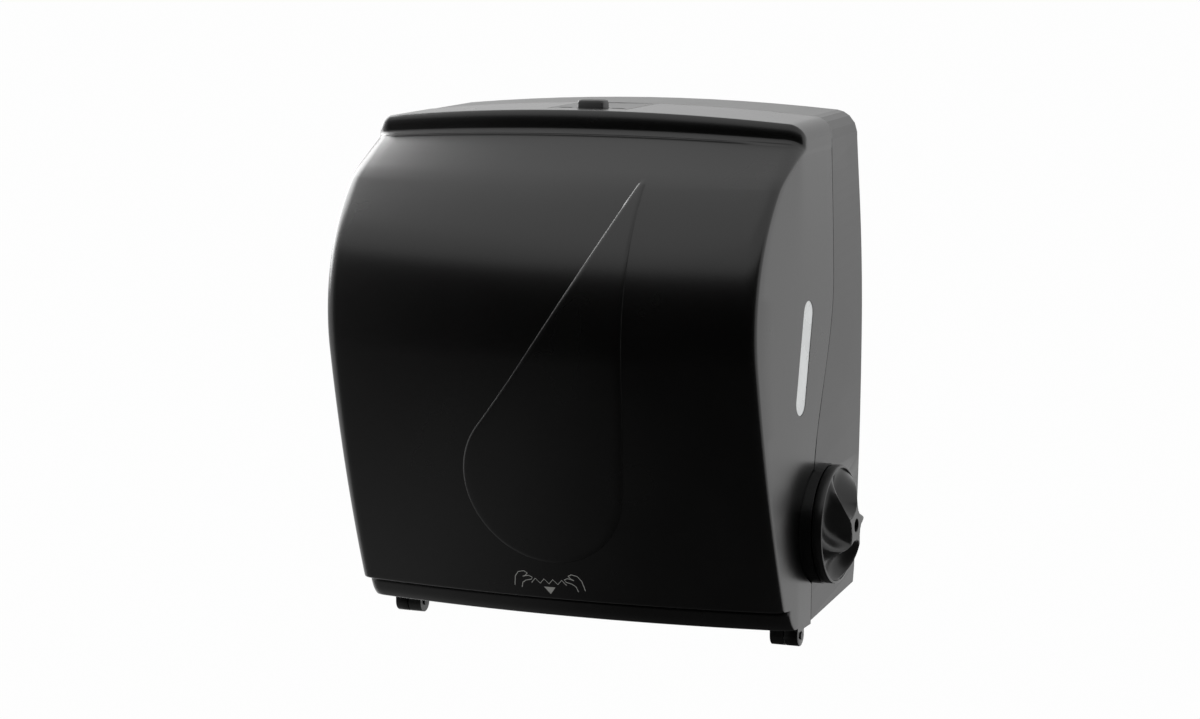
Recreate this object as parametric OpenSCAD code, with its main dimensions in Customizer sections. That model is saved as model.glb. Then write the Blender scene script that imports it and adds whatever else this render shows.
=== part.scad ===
// Wall mounted mechanical towel dispenser that cuts each sheet by itself.
// The wall is the plane y = 0, the front faces -Y, and the origin is the centre of the wall screws.
// Depths are counted forward from the wall, so a depth d lies at y = -d.

/* [Casing] */
// Full width at the wall, where the sides bow out most
body_w = 332; // [316:1:350]
// Height of the crown of the top at the wall
case_top = 181; // [176:1:190]
// Distance of the bottom edge below the origin
case_bottom = 178; // [174:1:184]
// Wall thickness of the casing and the cover
wall_t = 2.8; // [2:0.1:3.5]
// Thickness of the back plate
back_t = 4; // [3:0.5:6]
// How much the sides close in towards the front, per millimetre of depth
side_draft = 0.03; // [0.01:0.005:0.04]
// How far the sides draw in at the top of the wall edge
side_bow_top = 8; // [2:0.5:10]
// How far the sides draw in at the bottom of the wall edge
side_bow_bottom = 4.6; // [2:0.2:7]
// Radius of the crown across the top
crown_r = 1500; // [1200:50:2500]
// Fall of the top towards the front, per millimetre of depth
top_fall = 0.032; // [0:0.004:0.05]
// Radius of the two top corners, seen from the front
corner_r = 14; // [8:1:18]

/* [Seam] */
// Depth of the seam between casing and cover at the top
seam_top_d = 62; // [55:1:70]
// Depth of the seam at the bottom
seam_bottom_d = 100; // [95:1:103]
// Gap of the seam
seam_gap = 0.8; // [0.5:0.1:1.5]
// Half width of the casing's tongue that carries the lock
tongue_hw = 29; // [24:1:34]
// Depth of the tongue's front end
tongue_d = 124; // [120:1:128]

/* [Cover] */
// Full depth from the wall to the middle of the belly
body_depth = 232.5; // [225:0.5:239]
// Radius of the belly's upper arc
belly_r = 121; // [115:1:125]
// Height of the belly's centre
belly_z = 38; // [34:1:42]
// Lean of the front where the upper arc runs into the skirt, in degrees
skirt_lean = 11.9; // [10:0.1:13]
// Radius of the skirt's long arc
skirt_r = 1000; // [800:50:1400]
// Distance of the skirt's lower edge below the origin
skirt_bottom = 161; // [152:1:166]
// How far the middle of the front stands before its side edges
front_bow = 13; // [8:1:16]
// Depth of the top lip at its ends
lip_d = 129; // [127:1:132]
// Height of the lip's face
lip_h = 14; // [10:1:16]
// Rounding of the edge between front and sides, along the depth
edge_r = 8; // [5:0.5:10]
// Depth of the bottom rail at its top
rail_top_d = 151; // [148:1:156]
// Depth of the bottom rail at its lower edge
rail_bottom_d = 141; // [138:1:145]
// Radius of the round end of the raised drop
drop_r = 59.3; // [55:0.1:64]
// Place of the drop's round end, across
drop_x = 1; // [-6:0.5:6]
// Place of the drop's round end, below the origin
drop_z = 73.5; // [70:0.5:78]
// Centre of the drop's rounded tip, across
tip_x = 66.4; // [55:0.1:80]
// Height of the centre of the drop's tip
tip_z = 129.3; // [120:0.1:134]
// Radius of the drop's tip
tip_r = 2.5; // [1.5:0.5:5]
// Height of the drop above the front
drop_t = 1.2; // [0.6:0.1:1.6]
// Width of the sight windows
window_w = 18; // [12:1:22]
// Length of the sight windows between the centres of their round ends
window_l = 62; // [50:1:70]

/* [Hinge] */
// Depth of the hinge axis
hinge_d = 108; // [106:1:112]
// Distance of the hinge axis below the bottom edge
hinge_drop = 10; // [8:1:14]
// Radius of the hinge knuckles
knuckle_r = 7.5; // [6.5:0.5:8]
// Radius of the hinge pins
hinge_pin_r = 2.5; // [2:0.1:3]
// Distance of each hinge's middle from the widest part of the side
hinge_inset = 19.3; // [18:0.1:24]
// Width of one knuckle
knuckle_w = 10; // [8:0.5:11]

/* [Drum] */
// Depth of the drum's axis
drum_d = 84.8; // [82:0.2:88]
// Distance of the drum's axis below the origin
drum_z = 110.8; // [108:0.2:113]
// Radius of the drum's shells
drum_r = 38; // [36:0.5:39]
// How far the drum reaches past the paper on each side
drum_over = 16; // [13:0.5:17]
// Thickness of the drum's shells
shell_t = 2.5; // [2:0.1:3]
// Radius of the drum's journals
journal_r = 8; // [6:0.5:9]
// Height that the rubber bands stand proud
band_t = 0.7; // [0.4:0.1:1]
// Swing of the blade out of the drum, in degrees
blade_swing = 20; // [15:1:20]
// Radius of the pinch roller's sleeves
pinch_r = 9; // [7:0.5:10]
// Turns of the drum's return spring
spring_turns = 16; // [10:1:18]

/* [Knob] */
// Finger scoops in the knob's face
scoop_count = 5; // [4:1:6]
// Radius of the feed knob's rim
knob_r = 42; // [38:0.5:43]
// Thickness of the rim
knob_rim_t = 5.5; // [4:0.5:7]
// Height of the knob's cone above its rim
knob_cone_h = 14; // [10:0.5:16]
// Thickness of the casing's boss outside the wall
boss_h = 7; // [5:0.5:9]

/* [Roll carrier] */
// Depth of the paper roll's axis
roll_d = 108; // [104:1:112]
// Height of the paper roll's axis
roll_z = 45; // [40:1:50]
// Width of the paper that the arms hold
paper_w = 200; // [190:1:206]
// Radius of the hubs that fill the roll's core
hub_r = 18.5; // [16:0.5:20]

/* [Lock] */
// Width of the lock button
button_w = 20; // [16:1:24]
// Length of the lock button, front to back
button_l = 13; // [10:0.5:15]
// Height of the lock button above the tongue
button_h = 6; // [5:0.5:7]
// Depth of the lock button's centre
button_d = 111; // [108:0.5:113]
// Travel of the lock button
button_travel = 4; // [3:0.5:4.5]

/* [Mounting] */
// Wall screw spacing across
screw_dx = 200; // [180:1:220]
// Wall screw spacing in height
screw_dz = 200; // [190:1:210]
// Radius of the wall screw holes
screw_r = 2.75; // [2.5:0.25:3.25]

/* [Hidden] */
$fn = 64;

// Clearances
run_gap = 0.05;
slide_gap = 0.3;
side_gap = 0.5;
cut = 1;

// Outer form shared by the casing and the cover
bow_z = 20;
bow_fade_d = 130;
crown_foot_z = 130;
lip_round_r = 4;
lip_run = 4;
lip_step = 5.6;
ledge_h = 2;
rail_round = 1.5;
lip_top = case_top - top_fall * lip_d;
belly_d = body_depth - front_bow;
belly_c = belly_d - belly_r;
skirt_z0 = belly_z - belly_r * sin(skirt_lean);
skirt_d0 = belly_c + belly_r * cos(skirt_lean);
skirt_cz = skirt_z0 + skirt_r * sin(skirt_lean);
skirt_cd = skirt_d0 - skirt_r * cos(skirt_lean);
arc_top_a = 57;
arc_steps = 14;
skirt_steps = 6;
mid_steps = 12;
lip_rows = 3;
ledge_rows = 3;
rail_rows = 2;
corner_as = [90, 65, 40, 20];
seam_z_top = 62;
seam_z_bottom = -85;
bottom_rise = 8;
panel_step = 0.5;
panel_hw = 143;
panel_low_z = -160;
panel_top_z = 130;

function square_of(v) = v * v;
function smooth(t) = let (u = max(0, min(1, t))) u * u * (3 - 2 * u);

// Draw-in of the wall edge at a height
function side_bow(z) = z > bow_z
    ? side_bow_top * square_of((z - bow_z) / (case_top - bow_z))
    : side_bow_bottom * square_of((bow_z - z) / (case_bottom + bow_z));

// Half width of the body at a depth and a height
function half_w(d, z) = body_w / 2 - side_draft * d - side_bow(z) * max(0, 1 - d / bow_fade_d);

// Depth of the seam at a height
function seam_d(z) = seam_top_d
    + (seam_bottom_d - seam_top_d) * smooth((seam_z_top - z) / (seam_z_top - seam_z_bottom));

// Depth of the skirt at a height, inset from the outside
function skirt_depth(z, inset) = skirt_cd + sqrt(square_of(skirt_r - inset) - square_of(z - skirt_cz));

// Side profile of the cover from the lip down to the rail, as [height, depth] rows
function rows(inset) = concat(
    [for (a = [90, 45, 0])
        [lip_top - inset - lip_round_r * (1 - sin(a)), lip_d - inset - lip_round_r * (1 - cos(a))]],
    [[lip_top - lip_h - inset / 2, lip_d - inset]],
    [[lip_top - lip_h - lip_run - inset / 2, lip_d + lip_step - inset]],
    [for (i = [0:arc_steps])
        let (a = arc_top_a - (arc_top_a + skirt_lean) * i / arc_steps)
        [belly_z + (belly_r - inset) * sin(a), belly_c + (belly_r - inset) * cos(a)]],
    [for (i = [1:skirt_steps])
        let (z = skirt_z0 + (ledge_h - skirt_bottom - skirt_z0) * i / skirt_steps)
        [z, skirt_depth(z, inset)]],
    [[inset - skirt_bottom, skirt_depth(-skirt_bottom, inset) - ledge_h]],
    [[inset - skirt_bottom - ledge_h, rail_top_d - inset + ledge_h / 2]],
    [[inset - skirt_bottom - 2 * ledge_h, rail_top_d - inset]],
    [[rail_round - case_bottom, rail_bottom_d - inset]],
    [[-case_bottom, rail_bottom_d - inset - (inset > 0 ? 0 : rail_round)]]
);

// Columns across the front: [share of the flat middle, angle round the side edge]
columns = concat(
    [for (a = corner_as) [-1, a]],
    [for (i = [0:mid_steps]) [2 * i / mid_steps - 1, 0]],
    [for (i = [len(corner_as) - 1:-1:0]) [1, corner_as[i]]]
);

// Point of the cover's front for a profile row and a column
function front_point(row, col, inset) =
    let (
        r = corner_r - inset,
        w = half_w(row[1], row[0]) - inset,
        x = col[0] * (w - r) + sign(col[0]) * r * sin(col[1]) * (col[1] > 0 ? 1 : 0),
        t = max(0, (row[0] - crown_foot_z) / (lip_top - inset - crown_foot_z)),
        bow = front_bow * (1 - square_of(min(1, abs(x) / (w - r)))),
        d = row[1] + bow - (edge_r - inset / 2) * (1 - cos(col[1])),
        z = row[0] - t * square_of(x) / (2 * crown_r) - t * t * t * t * r * (1 - cos(col[1]))
    )
    [x, -d, z];

// Point of a side or top wall at a depth, behind a point of the front's rim
function wall_point(p, row, inset, d) =
    let (
        t = max(0, (row[0] - crown_foot_z) / (lip_top - inset - crown_foot_z)),
        w0 = half_w(-p[1], p[2]) - inset,
        w1 = half_w(d, p[2]) - inset
    )
    [p[0] * w1 / w0, -d, p[2] + t * top_fall * (-p[1] - d)];

n_row = len(rows(0));
n_col = len(columns);
n_rim = 2 * n_row + n_col - 2;

// Row and column of a point along the rim: up the left edge, over the top, down the right edge
function rim_at(k) = k < n_row
    ? [n_row - 1 - k, 0]
    : k < n_row + n_col - 2 ? [0, k - n_row + 1] : [k - n_row - n_col + 2, n_col - 1];

function grid(inset) = [for (r = rows(inset)) for (c = columns) front_point(r, c, inset)];

// Rim of the walls at the seam, moved back by a distance
function rim(inset, shift) = [
    for (k = [0:n_rim - 1])
        let (i = rim_at(k), row = rows(inset)[i[0]], p = front_point(row, columns[i[1]], inset))
        wall_point(p, row, inset, seam_d(p[2]) + shift)
];

function quad(a, b, c, d) = [[a, b, c], [a, c, d]];
function flat_list(v) = [for (a = v) for (b = a) b];

// Shell of the cover: front, walls back to the seam, and the same inset by the wall
module cover_shell() {
    n = n_row * n_col;
    m = n + n_rim;
    outer = rim(0, seam_gap / 2);
    inner = rim(wall_t, seam_gap / 2);
    points = concat(grid(0), outer, grid(wall_t), inner);
    front = [for (r = [0:n_row - 2]) for (c = [0:n_col - 2])
        let (a = r * n_col + c)
        quad(a, a + 1, a + n_col + 1, a + n_col)];
    back = [for (r = [0:n_row - 2]) for (c = [0:n_col - 2])
        let (a = m + r * n_col + c)
        quad(a + n_col, a + n_col + 1, a + 1, a)];
    walls = [for (k = [0:n_rim - 2])
        let (i = rim_at(k), j = rim_at(k + 1), p = i[0] * n_col + i[1], q = j[0] * n_col + j[1])
        concat(
            quad(n + k, n + k + 1, q, p),
            quad(m + p, m + q, m + n + k + 1, m + n + k),
            quad(n + k + 1, n + k, m + n + k, m + n + k + 1)
        )];
    low = (n_row - 1) * n_col;
    foot = [for (c = [0:n_col - 2]) quad(low + c, low + c + 1, m + low + c + 1, m + low + c)];
    last = low + n_col - 1;
    ends = [
        quad(n, low, m + low, m + n),
        quad(last, n + n_rim - 1, m + n + n_rim - 1, m + last)
    ];
    polyhedron(points, flat_list(concat(front, back, walls, foot, ends)), convexity = 6);
}

// Rise of the lowest edge, fading out up to the skirt's lower edge
function foot_lift(z, lift) = lift * max(0, (-z - skirt_bottom) / (case_bottom - skirt_bottom));

// Rim points that the casing uses, without the ends of the lip and of the ledge, which fall together
ledge_row = n_row - ledge_rows - rail_rows;
case_rim = [
    for (k = [0:n_rim - 1])
        let (row = rim_at(k)[0])
        if (row == 0 || (row > lip_rows && row < ledge_row) || row >= n_row - rail_rows) k
];

// Ring of the casing: the walls carried on from the seam to a depth
function ring(inset, d, lift) = [
    for (k = case_rim)
        let (
            i = rim_at(k),
            row = rows(inset)[i[0]],
            p = front_point(row, columns[i[1]], inset),
            q = wall_point(p, row, inset, d)
        )
        [q[0], q[1], q[2] + foot_lift(q[2], lift)]
];

// Tray of the casing: back, side walls, top and floor, open to the front
module casing_tray() {
    n = len(case_rim);
    edge = rim(0, -seam_gap / 2);
    edge_in = rim(wall_t, -seam_gap / 2);
    fore = [for (k = case_rim) edge[k]];
    fore_in = [for (k = case_rim) edge_in[k] + [0, 0, foot_lift(edge_in[k][2], wall_t)]];
    rear = ring(0, panel_step, bottom_rise);
    rear_in = ring(wall_t, back_t - panel_step, bottom_rise + wall_t);
    points = concat(rear, fore, fore_in, rear_in);
    bands = [for (k = [0:n - 1])
        let (j = (k + 1) % n)
        concat(
            quad(k, j, n + j, n + k),
            quad(n + k, n + j, 2 * n + j, 2 * n + k),
            quad(2 * n + k, 2 * n + j, 3 * n + j, 3 * n + k)
        )];
    back = [for (k = [n - 1:-1:0]) k];
    floor_in = [for (k = [0:n - 1]) 3 * n + k];
    polyhedron(points, concat(flat_list(bands), [back, floor_in]), convexity = 6);
}

// Cylinder along X between two places, at a depth and a height
module rod_x(x0, x1, d, z, r) {
    translate([x0, -d, z]) rotate([0, 90, 0]) cylinder(r = r, h = x1 - x0);
}

// Plate across X between two places: its outline is given as [depth, height]
module plate_x(x0, x1) {
    translate([x0, 0, 0]) rotate([90, 0, 90]) linear_extrude(x1 - x0) mirror([1, 0]) children();
}

// Box between two corners given as [x, depth, height]
module box(a, b) {
    translate([a[0], -b[1], a[2]]) cube([b[0] - a[0], b[1] - a[1], b[2] - a[2]]);
}

// Knob, drum and cheek places across the width
boss_edge = 0.5;
cheek_gap = 4;
cheek_t = 3;
bush_wall = 4;
bush_flange_w = 3;
bush_flange_t = 1.5;
knob_wall_x = half_w(drum_d, -drum_z);
boss_x = knob_wall_x + boss_h;
boss_r = knob_r + boss_edge;
notch_r = boss_r + seam_gap;
knob_x = boss_x + side_gap;
drum_hl = paper_w / 2 + drum_over;
cheek_x = drum_hl + cheek_gap;
cheek_out_x = cheek_x + cheek_t;
bush_r = journal_r + bush_wall;
bush_flange_r = bush_r + bush_flange_w;

// Sight windows: centre and tilt on the side wall
window_d = 120.5;
window_z = 11;
window_tilt = 12.8;
window_fit = 0.2;
window_flange = 3;
window_flange_t = 1.5;
window_set = 0.6;

// Outline of a sight window grown by a margin, as [depth, height]
module window_outline(grow) {
    translate([window_d, window_z]) rotate(window_tilt) {
        square([window_w + 2 * grow, window_l], center = true);
        for (s = [-1, 1]) translate([0, s * window_l / 2]) circle(window_w / 2 + grow);
    }
}

// Flanks of the drop: angles where they leave the round end and meet the tip, and how far they run straight
drop_steps = 24;
flank_as = [139, -7];
tip_as = [158, 3];
flank_l = 118;

// Bent line from a point by way of another to a third
function bend(a, b, c) = [
    for (i = [0:drop_steps])
        let (t = i / drop_steps)
        square_of(1 - t) * a + 2 * t * (1 - t) * b + square_of(t) * c
];

// Outline of the drop: its round end, two bent flanks and a rounded tip
module drop_outline() {
    foot = [drop_x, -drop_z];
    tip = [tip_x, tip_z];
    round_end = [for (i = [0:2 * drop_steps])
        let (a = flank_as[0] + (full_turn + flank_as[1] - flank_as[0]) * i / (2 * drop_steps))
        foot + drop_r * [cos(a), sin(a)]];
    left = round_end[0];
    right = round_end[2 * drop_steps];
    left_way = [sin(flank_as[0]), -cos(flank_as[0])];
    right_way = [-sin(flank_as[1]), cos(flank_as[1])];
    to_tip = bend(right, right + flank_l * right_way, tip + tip_r * [cos(tip_as[1]), sin(tip_as[1])]);
    from_tip = bend(tip + tip_r * [cos(tip_as[0]), sin(tip_as[0])], left + flank_l * left_way, left);
    translate(tip) circle(tip_r);
    polygon(concat([for (i = [1:2 * drop_steps - 1]) round_end[i]], to_tip, from_tip));
}

// Layer of the cover's front between two distances behind its skin, on the skin's own grid
module front_layer(near, far) {
    first_row = lip_rows + 2;
    last_row = ledge_row - 1;
    c0 = len(corner_as);
    n_across = mid_steps + 1;
    n_down = last_row - first_row + 1;
    n = n_across * n_down;
    skin = rows(0);
    sheet = [for (off = [near, far]) for (i = [first_row:last_row]) for (j = [c0:c0 + mid_steps])
        front_point(skin[i], columns[j], 0) + [0, off, 0]];
    faces = [for (i = [0:n_down - 2]) for (j = [0:n_across - 2])
        let (a = i * n_across + j)
        concat(
            quad(a, a + 1, a + n_across + 1, a + n_across),
            quad(n + a + n_across, n + a + n_across + 1, n + a + 1, n + a)
        )];
    sides = [for (i = [0:n_down - 2])
        let (a = i * n_across, b = a + mid_steps)
        concat(
            quad(a, a + n_across, n + a + n_across, n + a),
            quad(b + n_across, b, n + b, n + b + n_across)
        )];
    low = (n_down - 1) * n_across;
    caps = [for (j = [0:n_across - 2])
        concat(
            quad(j + 1, j, n + j, n + j + 1),
            quad(low + j, low + j + 1, n + low + j + 1, n + low + j)
        )];
    polyhedron(sheet, flat_list(concat(faces, sides, caps)), convexity = 4);
}

// Raised drop: the layer just before the skin, within the drop's outline
module drop_relief() {
    intersection() {
        rotate([90, 0, 0]) linear_extrude(belly_d + 2 * front_bow) drop_outline();
        front_layer(-drop_t, cut);
    }
}

// Tongue of the casing that carries the lock
tongue_z = case_top - top_fall * button_d;
tongue_t = 3;
tongue_root = 6;
tongue_slot_l = 10;
tongue_slot_w = 4;
tongue_slot_x = 20;
button_hole_gap = 0.4;
hole_hw = button_w / 2 + button_hole_gap;
hole_hl = button_l / 2 + button_hole_gap;

// Block of the tongue, lying along the slope of the top, from its underside up to a height
module tongue_block(up, grow) {
    translate([0, -seam_top_d, case_top - top_fall * seam_top_d])
        rotate([atan(top_fall), 0, 0])
            translate([-tongue_hw - grow, seam_top_d - tongue_d - grow, -tongue_t])
                cube([2 * (tongue_hw + grow), tongue_d - seam_top_d + tongue_root + 2 * grow, tongue_t + up]);
}

// Hinges: the casing's knuckle lies inside the cover's on each side
hinge_x = body_w / 2 - hinge_inset;
hinge_z = case_bottom + hinge_drop;
lug_gap = 0.6;
cover_lug_x = hinge_x + lug_gap / 2;
case_lug_x = hinge_x - lug_gap / 2 - knuckle_w;
lug_root = 8;
lug_arm_h = 6;
pin_overhang = 1;

// Hinge knuckle hanging below the bottom edge, with its arm up to a height
module knuckle(x, top) {
    rod_x(x, x + knuckle_w, hinge_d, -hinge_z, knuckle_r);
    box([x, hinge_d - knuckle_r, -hinge_z], [x + knuckle_w, hinge_d + knuckle_r, top]);
}

// Both sides of a thing drawn on the right
module both_sides() {
    children();
    mirror([1, 0, 0]) children();
}

// Thing drawn on the right, or its mirror image on the left
module on_side(s) {
    mirror([s < 0 ? 1 : 0, 0, 0]) children();
}

// Feet that stand on the back plate, and their screws
foot_l = 16;
foot_t = 3;
foot_h = 16;
foot_zs = [-148, -84];
foot_screw_in = 9;
foot_screw_x = cheek_out_x + foot_screw_in;
rib_w = 5;
rib_t = 3;
thread_r = 1.8;
thread_l = 2.5;
screw_head_r = 3.6;
screw_head_h = 2.4;
screw_slot_w = 1;

// Roll arms: plates beside the paper, the right one on an upright pin
arm_gap = 8;
arm_t = 4;
arm_x = paper_w / 2 + arm_gap;
arm_root_h = 44;
arm_end_r = 14;
arm_hole_near = 0.35;
arm_hole_far = 0.65;
arm_hole_root_r = arm_root_h / 5;
arm_hole_end_r = arm_end_r / 2;
arm_screw_x = arm_x + arm_t + foot_screw_in;
arm_screw_z = 14;
arm_pin_r = 3;
arm_eye_r = 6;
arm_pin_x = arm_x + arm_t + arm_eye_r;
arm_pin_up = 9;
arm_pin_d = back_t + arm_pin_up;
eye_h = 8;
eye_z = arm_root_h / 2 + eye_h / 2 + side_gap;
stud_r = 6;
stud_in = 13;
stud_end_x = paper_w / 2 - stud_in;
hub_l = 14;
hub_flange_t = 3;
hub_flange_w = 7;
arm_wire_r = 0.8;
arm_turns = 4;
arm_leg_l = 12;
arm_coil_h = 12;
arm_coil_r = arm_pin_x - arm_x - arm_t - arm_wire_r - slide_gap;

// Upright hole or pin at the right arm's pivot, between two heights above the roll's axis
module at_arm_pin(z0, z1, r) {
    translate([arm_pin_x, -arm_pin_d, roll_z + z0]) cylinder(r = r, h = z1 - z0);
}

boss_hub_l = 8;
boss_hub_r = journal_r + bush_wall;
screw_pad_w = 5;
screw_pad_r = screw_r + screw_pad_w;
screw_pad_h = 2;

// Places of the wall screws
module at_wall_screws() {
    for (x = [-screw_dx / 2, screw_dx / 2])
        for (z = [-screw_dz / 2, screw_dz / 2])
            translate([x, 0, z]) rotate([90, 0, 0]) children();
}

// Places of the screws that hold the cheeks and the left roll arm to the back plate
module at_case_screws() {
    for (s = [-1, 1])
        for (z = foot_zs)
            translate([s * foot_screw_x, -back_t, z]) rotate([90, 0, 0]) children();
    for (s = [-1, 1])
        translate([-arm_screw_x, -back_t, roll_z + s * arm_screw_z]) rotate([90, 0, 0]) children();
}

// Round boss for the knob on the right wall: a cup with a hub inside
module knob_boss() {
    hub_x = knob_wall_x - wall_t - boss_hub_l;
    difference() {
        rod_x(knob_wall_x - wall_t, boss_x, drum_d, -drum_z, boss_r);
        rod_x(knob_wall_x - wall_t - cut, boss_x - wall_t, drum_d, -drum_z, boss_r - wall_t);
    }
    rod_x(hub_x, boss_x - wall_t / 2, drum_d, -drum_z, boss_hub_r);
}

module back_casing() {
    color("dimgray") difference() {
        union() {
            difference() {
                casing_tray();
                rod_x(body_w / 4, body_w, drum_d, -drum_z, boss_r - wall_t / 2);
            }
            box([-panel_hw, 0, panel_low_z], [panel_hw, back_t, panel_top_z]);
            knob_boss();
            tongue_block(0, 0);
            both_sides() {
                knuckle(case_lug_x, wall_t - case_bottom);
                box([case_lug_x, seam_bottom_d - lug_root, -hinge_z],
                    [case_lug_x + knuckle_w, hinge_d, wall_t - case_bottom]);
            }
            for (s = [-1, 1]) {
                at_arm_pin(s * eye_z - eye_h / 2, s * eye_z + eye_h / 2, arm_eye_r);
                box([arm_pin_x - arm_eye_r, back_t - cut, roll_z + s * eye_z - eye_h / 2],
                    [arm_pin_x + arm_eye_r, arm_pin_d, roll_z + s * eye_z + eye_h / 2]);
            }
            at_wall_screws() translate([0, 0, back_t - cut])
                cylinder(r = screw_pad_r, h = screw_pad_h + cut);
        }
        rod_x(body_w / 4, body_w, drum_d, -drum_z, journal_r + slide_gap);
        both_sides()
            rod_x(case_lug_x - cut, case_lug_x + knuckle_w + cut, hinge_d, -hinge_z, hinge_pin_r + run_gap);
        box([-hole_hw, button_d - hole_hl, tongue_z - 2 * tongue_t],
            [hole_hw, button_d + hole_hl, tongue_z + tongue_t]);
        both_sides()
            box([tongue_slot_x - tongue_slot_l / 2, button_d, tongue_z - 2 * tongue_t],
                [tongue_slot_x + tongue_slot_l / 2, button_d + tongue_slot_w, tongue_z + tongue_t]);
        at_wall_screws() translate([0, 0, -cut]) cylinder(r = screw_r, h = back_t + screw_pad_h + 2 * cut);
        at_case_screws() translate([0, 0, -thread_l - run_gap]) cylinder(r = thread_r, h = 2 * thread_l);
        at_arm_pin(-2 * eye_z, 2 * eye_z, arm_pin_r);
    }
}

// Lock: button, slider, their guide under the tongue, and the cover's catch above the slider's nose
latch_drop = 26;
latch_low_z = tongue_z - latch_drop;
latch_h = 12;
latch_d0 = button_d - button_l / 2;
latch_d1 = button_d + button_l / 2;
collar_w = 2;
collar_gap = 0.9;
guide_hw = button_w / 2 + collar_w + slide_gap;
guide_wall = 2;
latch_coil_h = 5;
latch_floor_z = latch_low_z - button_travel - latch_coil_h;
latch_wire_r = 0.5;
latch_coil_r = 3.5;
latch_turns = 4;
nose_hw = 8;
nose_h = 5;
nose_reach = 4;
nose_d = tongue_d + nose_reach;
catch_gap = 1;
catch_t = 3;
catch_lap = 6;
catch_d = nose_d - catch_lap;

module front_cover() {
    catch_z = latch_low_z + nose_h + catch_gap;
    lug_top = lug_arm_h - case_bottom;
    color("black") difference() {
        union() {
            cover_shell();
            drop_relief();
            both_sides() {
                knuckle(cover_lug_x, lug_top);
                box([cover_lug_x, hinge_d - knuckle_r, -case_bottom],
                    [half_w(hinge_d, -case_bottom) - wall_t / 2, rail_bottom_d - wall_t / 2, lug_top]);
            }
            box([-nose_hw, catch_d, catch_z],
                [nose_hw, lip_d + lip_step / 2 + front_bow - wall_t / 2, catch_z + catch_t]);
        }
        both_sides()
            rod_x(cover_lug_x - cut, cover_lug_x + knuckle_w + cut, hinge_d, -hinge_z, hinge_pin_r + run_gap);
        rod_x(body_w / 4, body_w, drum_d, -drum_z, notch_r);
        both_sides() plate_x(body_w / 4, body_w) window_outline(window_fit);
        box([-tongue_hw - seam_gap, 0, lip_top - lip_h],
            [tongue_hw + seam_gap, tongue_d + seam_gap, 2 * case_top]);
    }
}

module sight_window(s) {
    wall = half_w(window_d, window_z);
    seat = wall - wall_t - 2 * window_fit;
    color("lightgray") on_side(s)
        translate([wall, -window_d, 0]) rotate([0, 0, -atan(side_draft)]) translate([-wall, window_d, 0]) {
            plate_x(seat, wall - window_set) window_outline(0);
            plate_x(seat - window_flange_t, seat) window_outline(window_flange);
        }
}

module sight_window_left() sight_window(-1);
module sight_window_right() sight_window(1);

// Hinge pins, one through the two knuckles of each hinge
module hinge_pins() {
    color("silver") both_sides()
        rod_x(case_lug_x - pin_overhang, cover_lug_x + knuckle_w + pin_overhang,
            hinge_d, -hinge_z, hinge_pin_r);
}

// Places round the drum, as [depth, height]
pinch_a = 120;
nip_gap = 0.4;
pinch_reach = drum_r + band_t + nip_gap + pinch_r;
pinch_d = drum_d + pinch_reach * cos(pinch_a);
pinch_z = pinch_reach * sin(pinch_a) - drum_z;
pinch_shaft_r = 3;
shaft_overhang = 2;
sleeve_xs = [-70, 0, 70];
sleeve_l = 50;
rod_d = 34;
rod_zs = [-150, -62];
rod_r = 3;
guide_gap = 6;
guide_r = drum_r + guide_gap;
guide_t = 2;
guide_low_a = -40;
guide_top_a = 50;
guide_lap_a = 2;
guide_lip_l = 26;
guide_flare = 7;
cheek_low_z = -164;
cheek_top_z = -46;
cheek_margin = 3;
cheek_front_d = drum_d + guide_r + guide_t + cheek_margin;
cheek_front_top = 0.6 * drum_r - drum_z;
cheek_front_low = -0.5 * drum_r - drum_z;
cheek_low_d = drum_d + 0.8 * drum_r;

// Drum in detail: the blade slot's direction at rest and its edges, as angles from that direction
slot_a = 225;
slot_up_a = 5;
slot_down_a = 12;
rim_t = 2;
spigot_l = 6;
spigot_t = 3;
band_w = 18;
band_xs = [-90, -30, 30, 90];
band_edge_a = 1;

// Blade carrier, as [along the slot, across it] from the drum's axis
pivot = [16, -24];
pivot_r = 2.5;
pivot_eye_r = 5;
carrier_in = 13;
carrier_x = drum_hl - carrier_in;
carrier_t = 4;
bar_u = 19;
bar_v = 0.6;
bar_h = 9;
bar_t = 3.4;
bar_end_r = 3.5;
blade_t = 1;
blade_tip_u = 33;
tooth_pitch = 4;
tooth_h = 3;
follower = [2, -18];
follower_r = 2;
follower_gap = 1;
follower_slot_r = follower_r + follower_gap;
cam_gap = 2;
cam_r = norm(follower) + follower_r + cam_gap;
cam_w = 4;

// Point of the carrier after it has swung out by an angle
function swung(p, a) = pivot + [
    (p[0] - pivot[0]) * cos(a) + (p[1] - pivot[1]) * sin(a),
    (p[1] - pivot[1]) * cos(a) - (p[0] - pivot[0]) * sin(a)
];

// Crank on the drum's left end, and the return spring's post on the left cheek
crank_in_x = cheek_out_x + bush_flange_t + side_gap;
crank_t = 4;
crank_out_x = crank_in_x + crank_t;
crank_r = 24;
crank_edge = 6;
crank_pin_r = 3;
relief_r = 6;
relief_at = 18;
relief_as = [90, 180, 270];
post_d = 22;
post_z = -58;
post_r = 3;
pin_head_w = 2;
pin_head_t = 2;
spring_wire_r = 0.7;
spring_coil_r = 4.6;
spring_gap = 1.7;
spring_x = crank_out_x + spring_coil_r + spring_wire_r + spring_gap;
pin_end_x = spring_x + spring_coil_r + spring_wire_r + side_gap;
crank_a = atan2(post_z + drum_z, post_d - drum_d);
pin_d = drum_d + crank_r * cos(crank_a);
pin_z = crank_r * sin(crank_a) - drum_z;
spring_span = norm([post_d - pin_d, post_z - pin_z]);
eye_r = crank_pin_r + slide_gap + spring_wire_r;
spring_lead = 3;

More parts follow.
